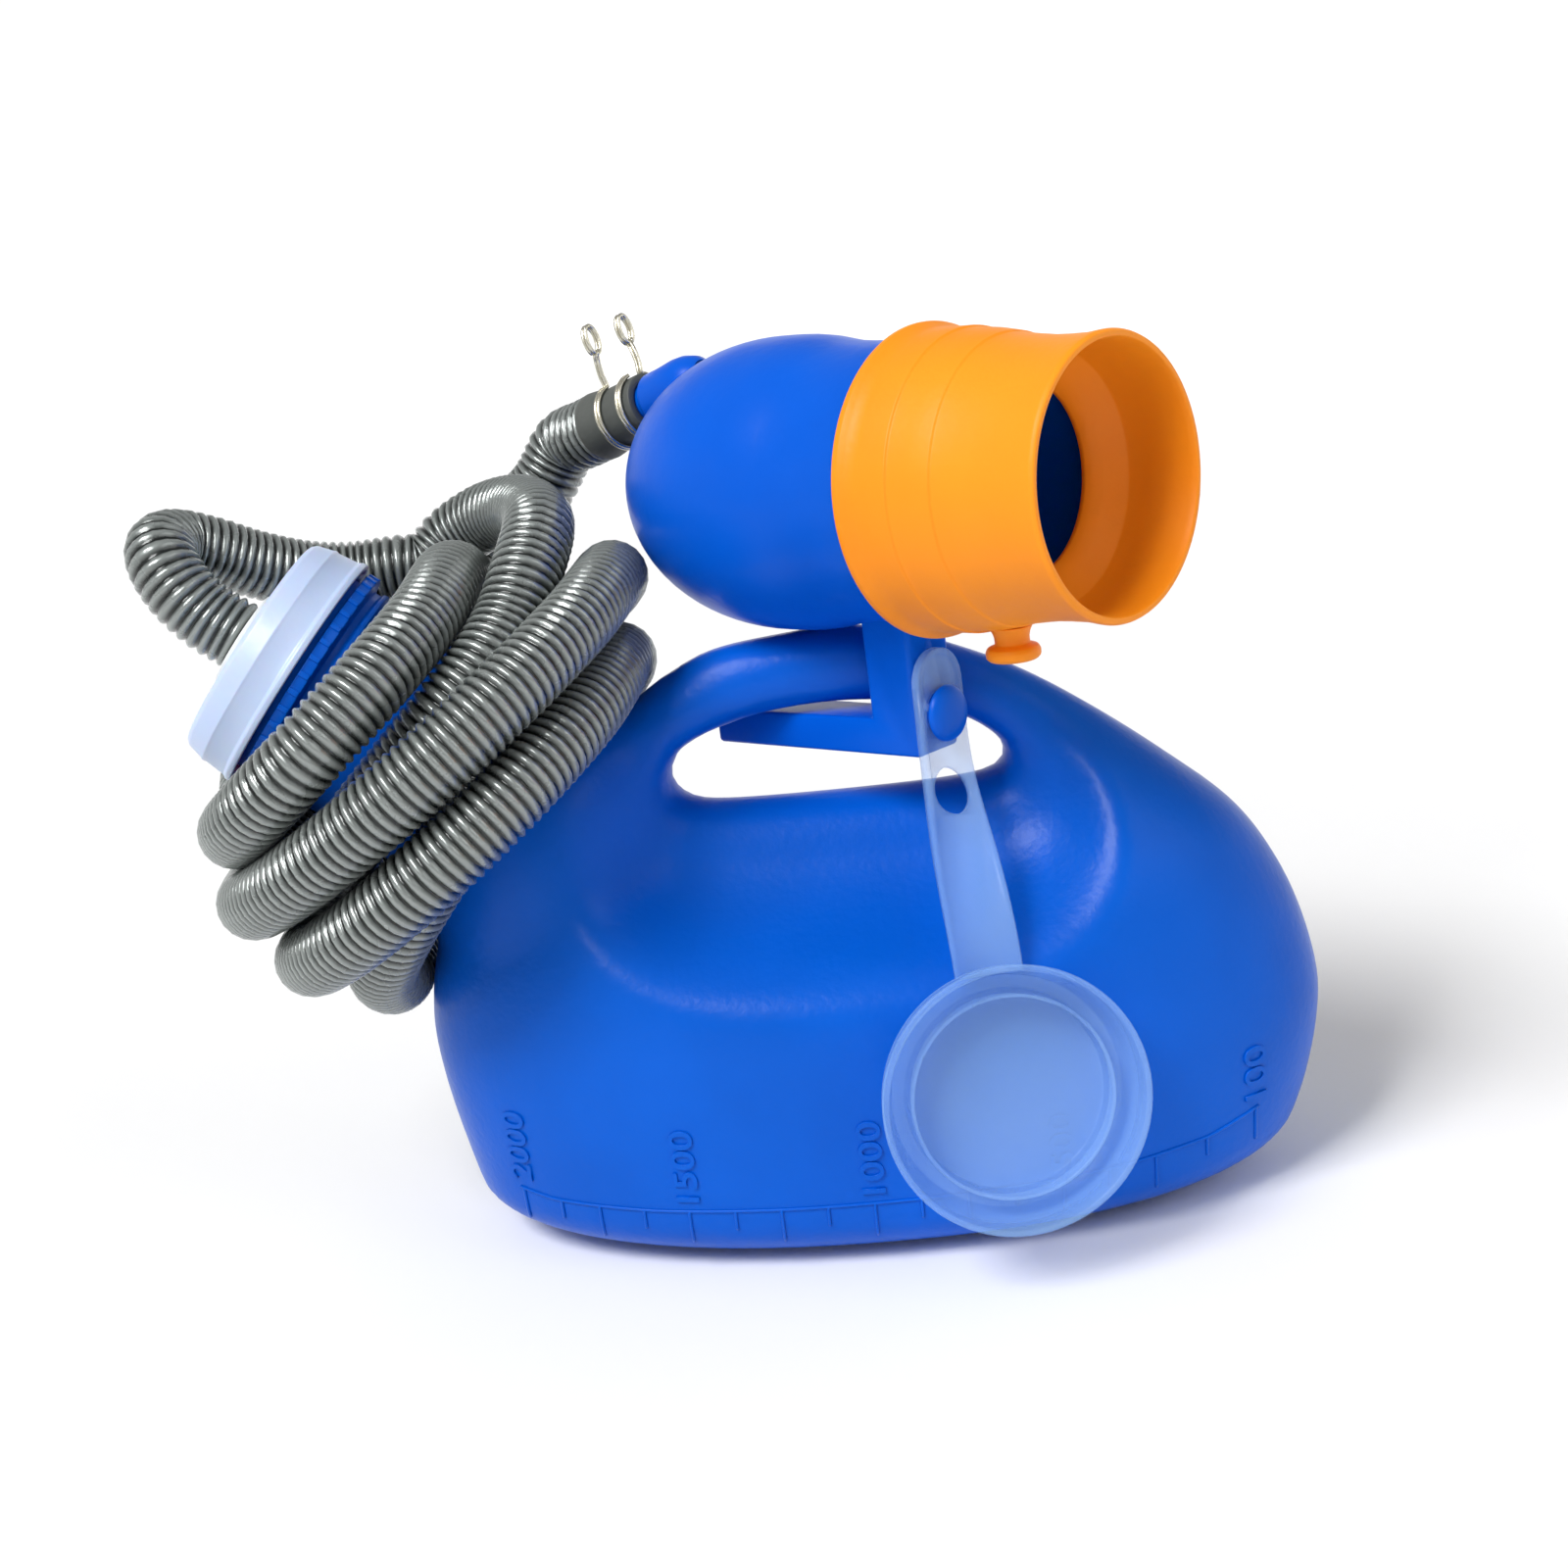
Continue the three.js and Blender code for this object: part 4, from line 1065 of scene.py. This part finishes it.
def link(m, a, out, b, into):
    """Joins an output of one node to an input of another."""
    m.node_tree.links.new(a.outputs[out], b.inputs[into])


def object_noise(m, scale, detail=3):
    """Noise in object coordinates, in units of 1 / metre."""
    place = add_node(m, "ShaderNodeTexCoord")
    noise = add_node(m, "ShaderNodeTexNoise", Scale=scale, Detail=detail)
    link(m, place, "Object", noise, "Vector")
    return noise


def vary_color(m, dark, light, scale):
    """Colour drifts between two shades."""
    shader = m.node_tree.nodes["Principled BSDF"]
    ramp = add_node(m, "ShaderNodeValToRGB")
    ramp.color_ramp.elements[0].position, ramp.color_ramp.elements[0].color = 0.35, (*dark, 1)
    ramp.color_ramp.elements[1].position, ramp.color_ramp.elements[1].color = 0.65, (*light, 1)
    link(m, object_noise(m, scale), "Fac", ramp, "Fac")
    link(m, ramp, "Color", shader, "Base Color")


def vary_roughness(m, low, high, scale):
    """Gloss drifts between two values of roughness."""
    shader = m.node_tree.nodes["Principled BSDF"]
    spread = add_node(m, "ShaderNodeMapRange")
    spread.inputs["To Min"].default_value = low
    spread.inputs["To Max"].default_value = high
    link(m, object_noise(m, scale, 4), "Fac", spread, "Value")
    link(m, spread, "Result", shader, "Roughness")


def add_bump(m, scale, height, detail=2):
    """A fine ripple, with its height in metres."""
    shader = m.node_tree.nodes["Principled BSDF"]
    bump = add_node(m, "ShaderNodeBump", Strength=1.0, Distance=height)
    link(m, object_noise(m, scale, detail), "Fac", bump, "Height")
    link(m, bump, "Normal", shader, "Normal")


def moulded(name, dark, light, roughness, grain, height, **values):
    """Moulded plastic: slight colour drift, uneven gloss and a fine surface ripple."""
    m = material(name, light, roughness, **values)
    vary_color(m, dark, light, COLOR_DRIFT)
    vary_roughness(m, roughness - 0.05, roughness + 0.07, GLOSS_DRIFT)
    add_bump(m, grain, height)
    return m


def hose_material():
    """Glossy grey ribs, with painted shade that darkens the grooves to near black."""
    m = material("hose_silver_grey", (0.1, 0.11, 0.107), 0.3, Metallic=0.45, Coat_Weight=0.5,
                 Coat_Roughness=0.15)
    shader = m.node_tree.nodes["Principled BSDF"]
    # Painted shade: the colour goes near black in the grooves and keeps the hose's own grey on the ribs, by
    # how high each point sits on its rib.
    groove_shade_mask = add_node(m, "ShaderNodeAttribute", attribute_name="groove_shade_mask")
    ramp = add_node(m, "ShaderNodeValToRGB")
    ramp.color_ramp.elements[0].position, ramp.color_ramp.elements[0].color = 0.25, (0.006, 0.009, 0.008, 1)
    ramp.color_ramp.elements[1].position, ramp.color_ramp.elements[1].color = 0.92, (0.27, 0.295, 0.285, 1)
    link(m, groove_shade_mask, "Fac", ramp, "Fac")
    link(m, ramp, "Color", shader, "Base Color")
    vary_roughness(m, 0.2, 0.34, 120)
    add_bump(m, 900, 0.00008)
    return m


bottle_blue = moulded("bottle_blue_plastic", (0.0, 0.085, 0.5), (0.0001, 0.105, 0.6), 0.31, 420, 0.00012,
                      Specular_IOR_Level=0.14)
collector_blue = moulded("collector_blue_plastic", (0.0, 0.085, 0.55), (0.0001, 0.1, 0.62), 0.32, 300,
                         0.00008, Specular_IOR_Level=0.14)
orange = moulded("sleeve_orange_soft", (0.88, 0.255, 0.006), (0.95, 0.3, 0.01), 0.45, 500, 0.00008,
                 Specular_IOR_Level=0.25)
milky = moulded("cap_milky", (0.42, 0.53, 0.76), (0.5, 0.6, 0.82), 0.34, 380, 0.00006,
                Subsurface_Weight=0.3, Subsurface_Scale=0.006)
clear_milky = moulded("strap_clear_milky", (0.24, 0.46, 0.88), (0.3, 0.52, 0.92), 0.28, 380, 0.00006,
                      Alpha=0.34)
white = moulded("fitting_white", (0.74, 0.76, 0.75), (0.8, 0.82, 0.81), 0.38, 500, 0.00005)
dark_grey = moulded("cuff_dark_grey", (0.06, 0.066, 0.06), (0.085, 0.092, 0.085), 0.55, 900, 0.00008)
rubber = moulded("washer_black", (0.02, 0.02, 0.02), (0.03, 0.03, 0.03), 0.7, 700, 0.00005)
zinc = moulded("wire_zinc", (0.62, 0.58, 0.44), (0.8, 0.77, 0.66), 0.24, 900, 0.00004, Metallic=1.0)
grey_hose = hose_material()


def dress(obj, m):
    """Gives a piece one material."""
    obj.data.materials.clear()
    obj.data.materials.append(m)


for piece, finish in (
    (bottle, bottle_blue), (neck, bottle_blue), (scale, bottle_blue), (neck_cap, milky), (barb, white),
    (collector, collector_blue), (cuff, dark_grey), (clamp, zinc), (sleeve, orange), (tethered, clear_milky),
    (hose_tail, grey_hose), (hose_coil, grey_hose), (hose_lead, grey_hose),
    (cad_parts["barb_washer"], rubber), (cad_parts["barb_nut"], white),
):
    dress(piece, finish)

# ---- what each piece stands for and rides on ----
for piece, body, node, slot in (
    (bottle, "bottle", "bottle_shell", "bottle_blue"),
    (neck, "bottle", "bottle_shell", "bottle_blue"),
    (scale, "bottle", "bottle_shell", "bottle_blue"),
    (neck_cap, "neck_closure", "neck_cap", "milky_cap"),
    (barb, "neck_closure", "hose_barb", "white_fitting"),
    (collector, "collector", "collector", "collector_blue"),
    (cuff, "collector", "hose_cuff", "cuff_grey"),
    (clamp, "collector", "wire_clamp", "spring_wire"),
    (sleeve, "sleeve", "mouth_sleeve", "sleeve_orange"),
    (tethered, "hanging_cap", "tethered_cap", "milky_strap"),
    (hose_coil, "bottle", "hose_coil", "hose_grey"),
):
    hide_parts(node)
    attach(piece, body)

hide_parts("hose_tail")
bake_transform(hose_tail)
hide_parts("hose_coil")
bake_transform(hose_lead)


# ---- floor, light and view ----
FLOOR_R = 2000
BACKDROP_BEND = 700
BACKDROP_TOP = 1300
BACKDROP_STEPS = 12
FLOOR_SIDES = 96
FLOOR_Z = -0.4
KEY_STRENGTH, KEY_SPREAD = 2.3, 22
FILL_STRENGTH, FILL_SPREAD = 0.5, 40
STRIP_AT, STRIP_SIZE, STRIP_POWER = (-0.45, -0.9, 0.95), (0.16, 0.5), 4
LIGHT_TARGET = (-0.02, 0, 0.11)
WORLD_STRENGTH = 0.32


def make_stage():
    """A pale floor that curves up into a round backdrop, a little below the bottle's base."""
    profile = [(0, FLOOR_Z), (FLOOR_R, FLOOR_Z)]
    for i in range(1, BACKDROP_STEPS + 1):
        angle = math.pi / 2 * i / BACKDROP_STEPS
        rise = BACKDROP_BEND * (1 - math.cos(angle))
        profile.append((FLOOR_R + BACKDROP_BEND * math.sin(angle), FLOOR_Z + rise))
    profile.append((FLOOR_R + BACKDROP_BEND, BACKDROP_TOP))
    points, faces = lathe(profile, FLOOR_SIDES, Matrix.Identity(4))
    floor = mesh_object("floor", points, faces)
    dress(floor, material("floor_pale", (0.93, 0.93, 0.93), 0.85, Specular_IOR_Level=0.1))


def sun(name, direction, strength, spread):
    """A broad soft light from a direction that points at the bottle."""
    light = bpy.data.lights.new(name, "SUN")
    light.energy = strength
    light.angle = math.radians(spread)
    obj = bpy.data.objects.new(name, light)
    bpy.context.collection.objects.link(obj)
    obj.matrix_world = Vector(direction).to_track_quat("-Z", "Y").to_matrix().to_4x4()


def area_light(name, position, target, size, power):
    """A rectangular lamp that points at a target."""
    light = bpy.data.lights.new(name, "AREA")
    light.shape = "RECTANGLE"
    light.size, light.size_y = size
    light.energy = power
    obj = bpy.data.objects.new(name, light)
    bpy.context.collection.objects.link(obj)
    direction = Vector(target) - Vector(position)
    obj.matrix_world = Matrix.Translation(position) @ direction.to_track_quat("-Z", "Y").to_matrix().to_4x4()


def make_lights():
    """A key from the upper left, a weak fill, a strip for the highlights and a white world."""
    sun("key", (0.5, 0.5, -0.8), KEY_STRENGTH, KEY_SPREAD)
    sun("fill", (-0.75, 0.5, -0.55), FILL_STRENGTH, FILL_SPREAD)
    area_light("strip", STRIP_AT, LIGHT_TARGET, STRIP_SIZE, STRIP_POWER)
    world = bpy.data.worlds.new("studio")
    world.use_nodes = True
    background = world.node_tree.nodes["Background"]
    background.inputs["Color"].default_value = (1, 1, 1, 1)
    background.inputs["Strength"].default_value = WORLD_STRENGTH
    bpy.context.scene.world = world
    bpy.context.scene.view_settings.view_transform = "Standard"


make_stage()
make_lights()
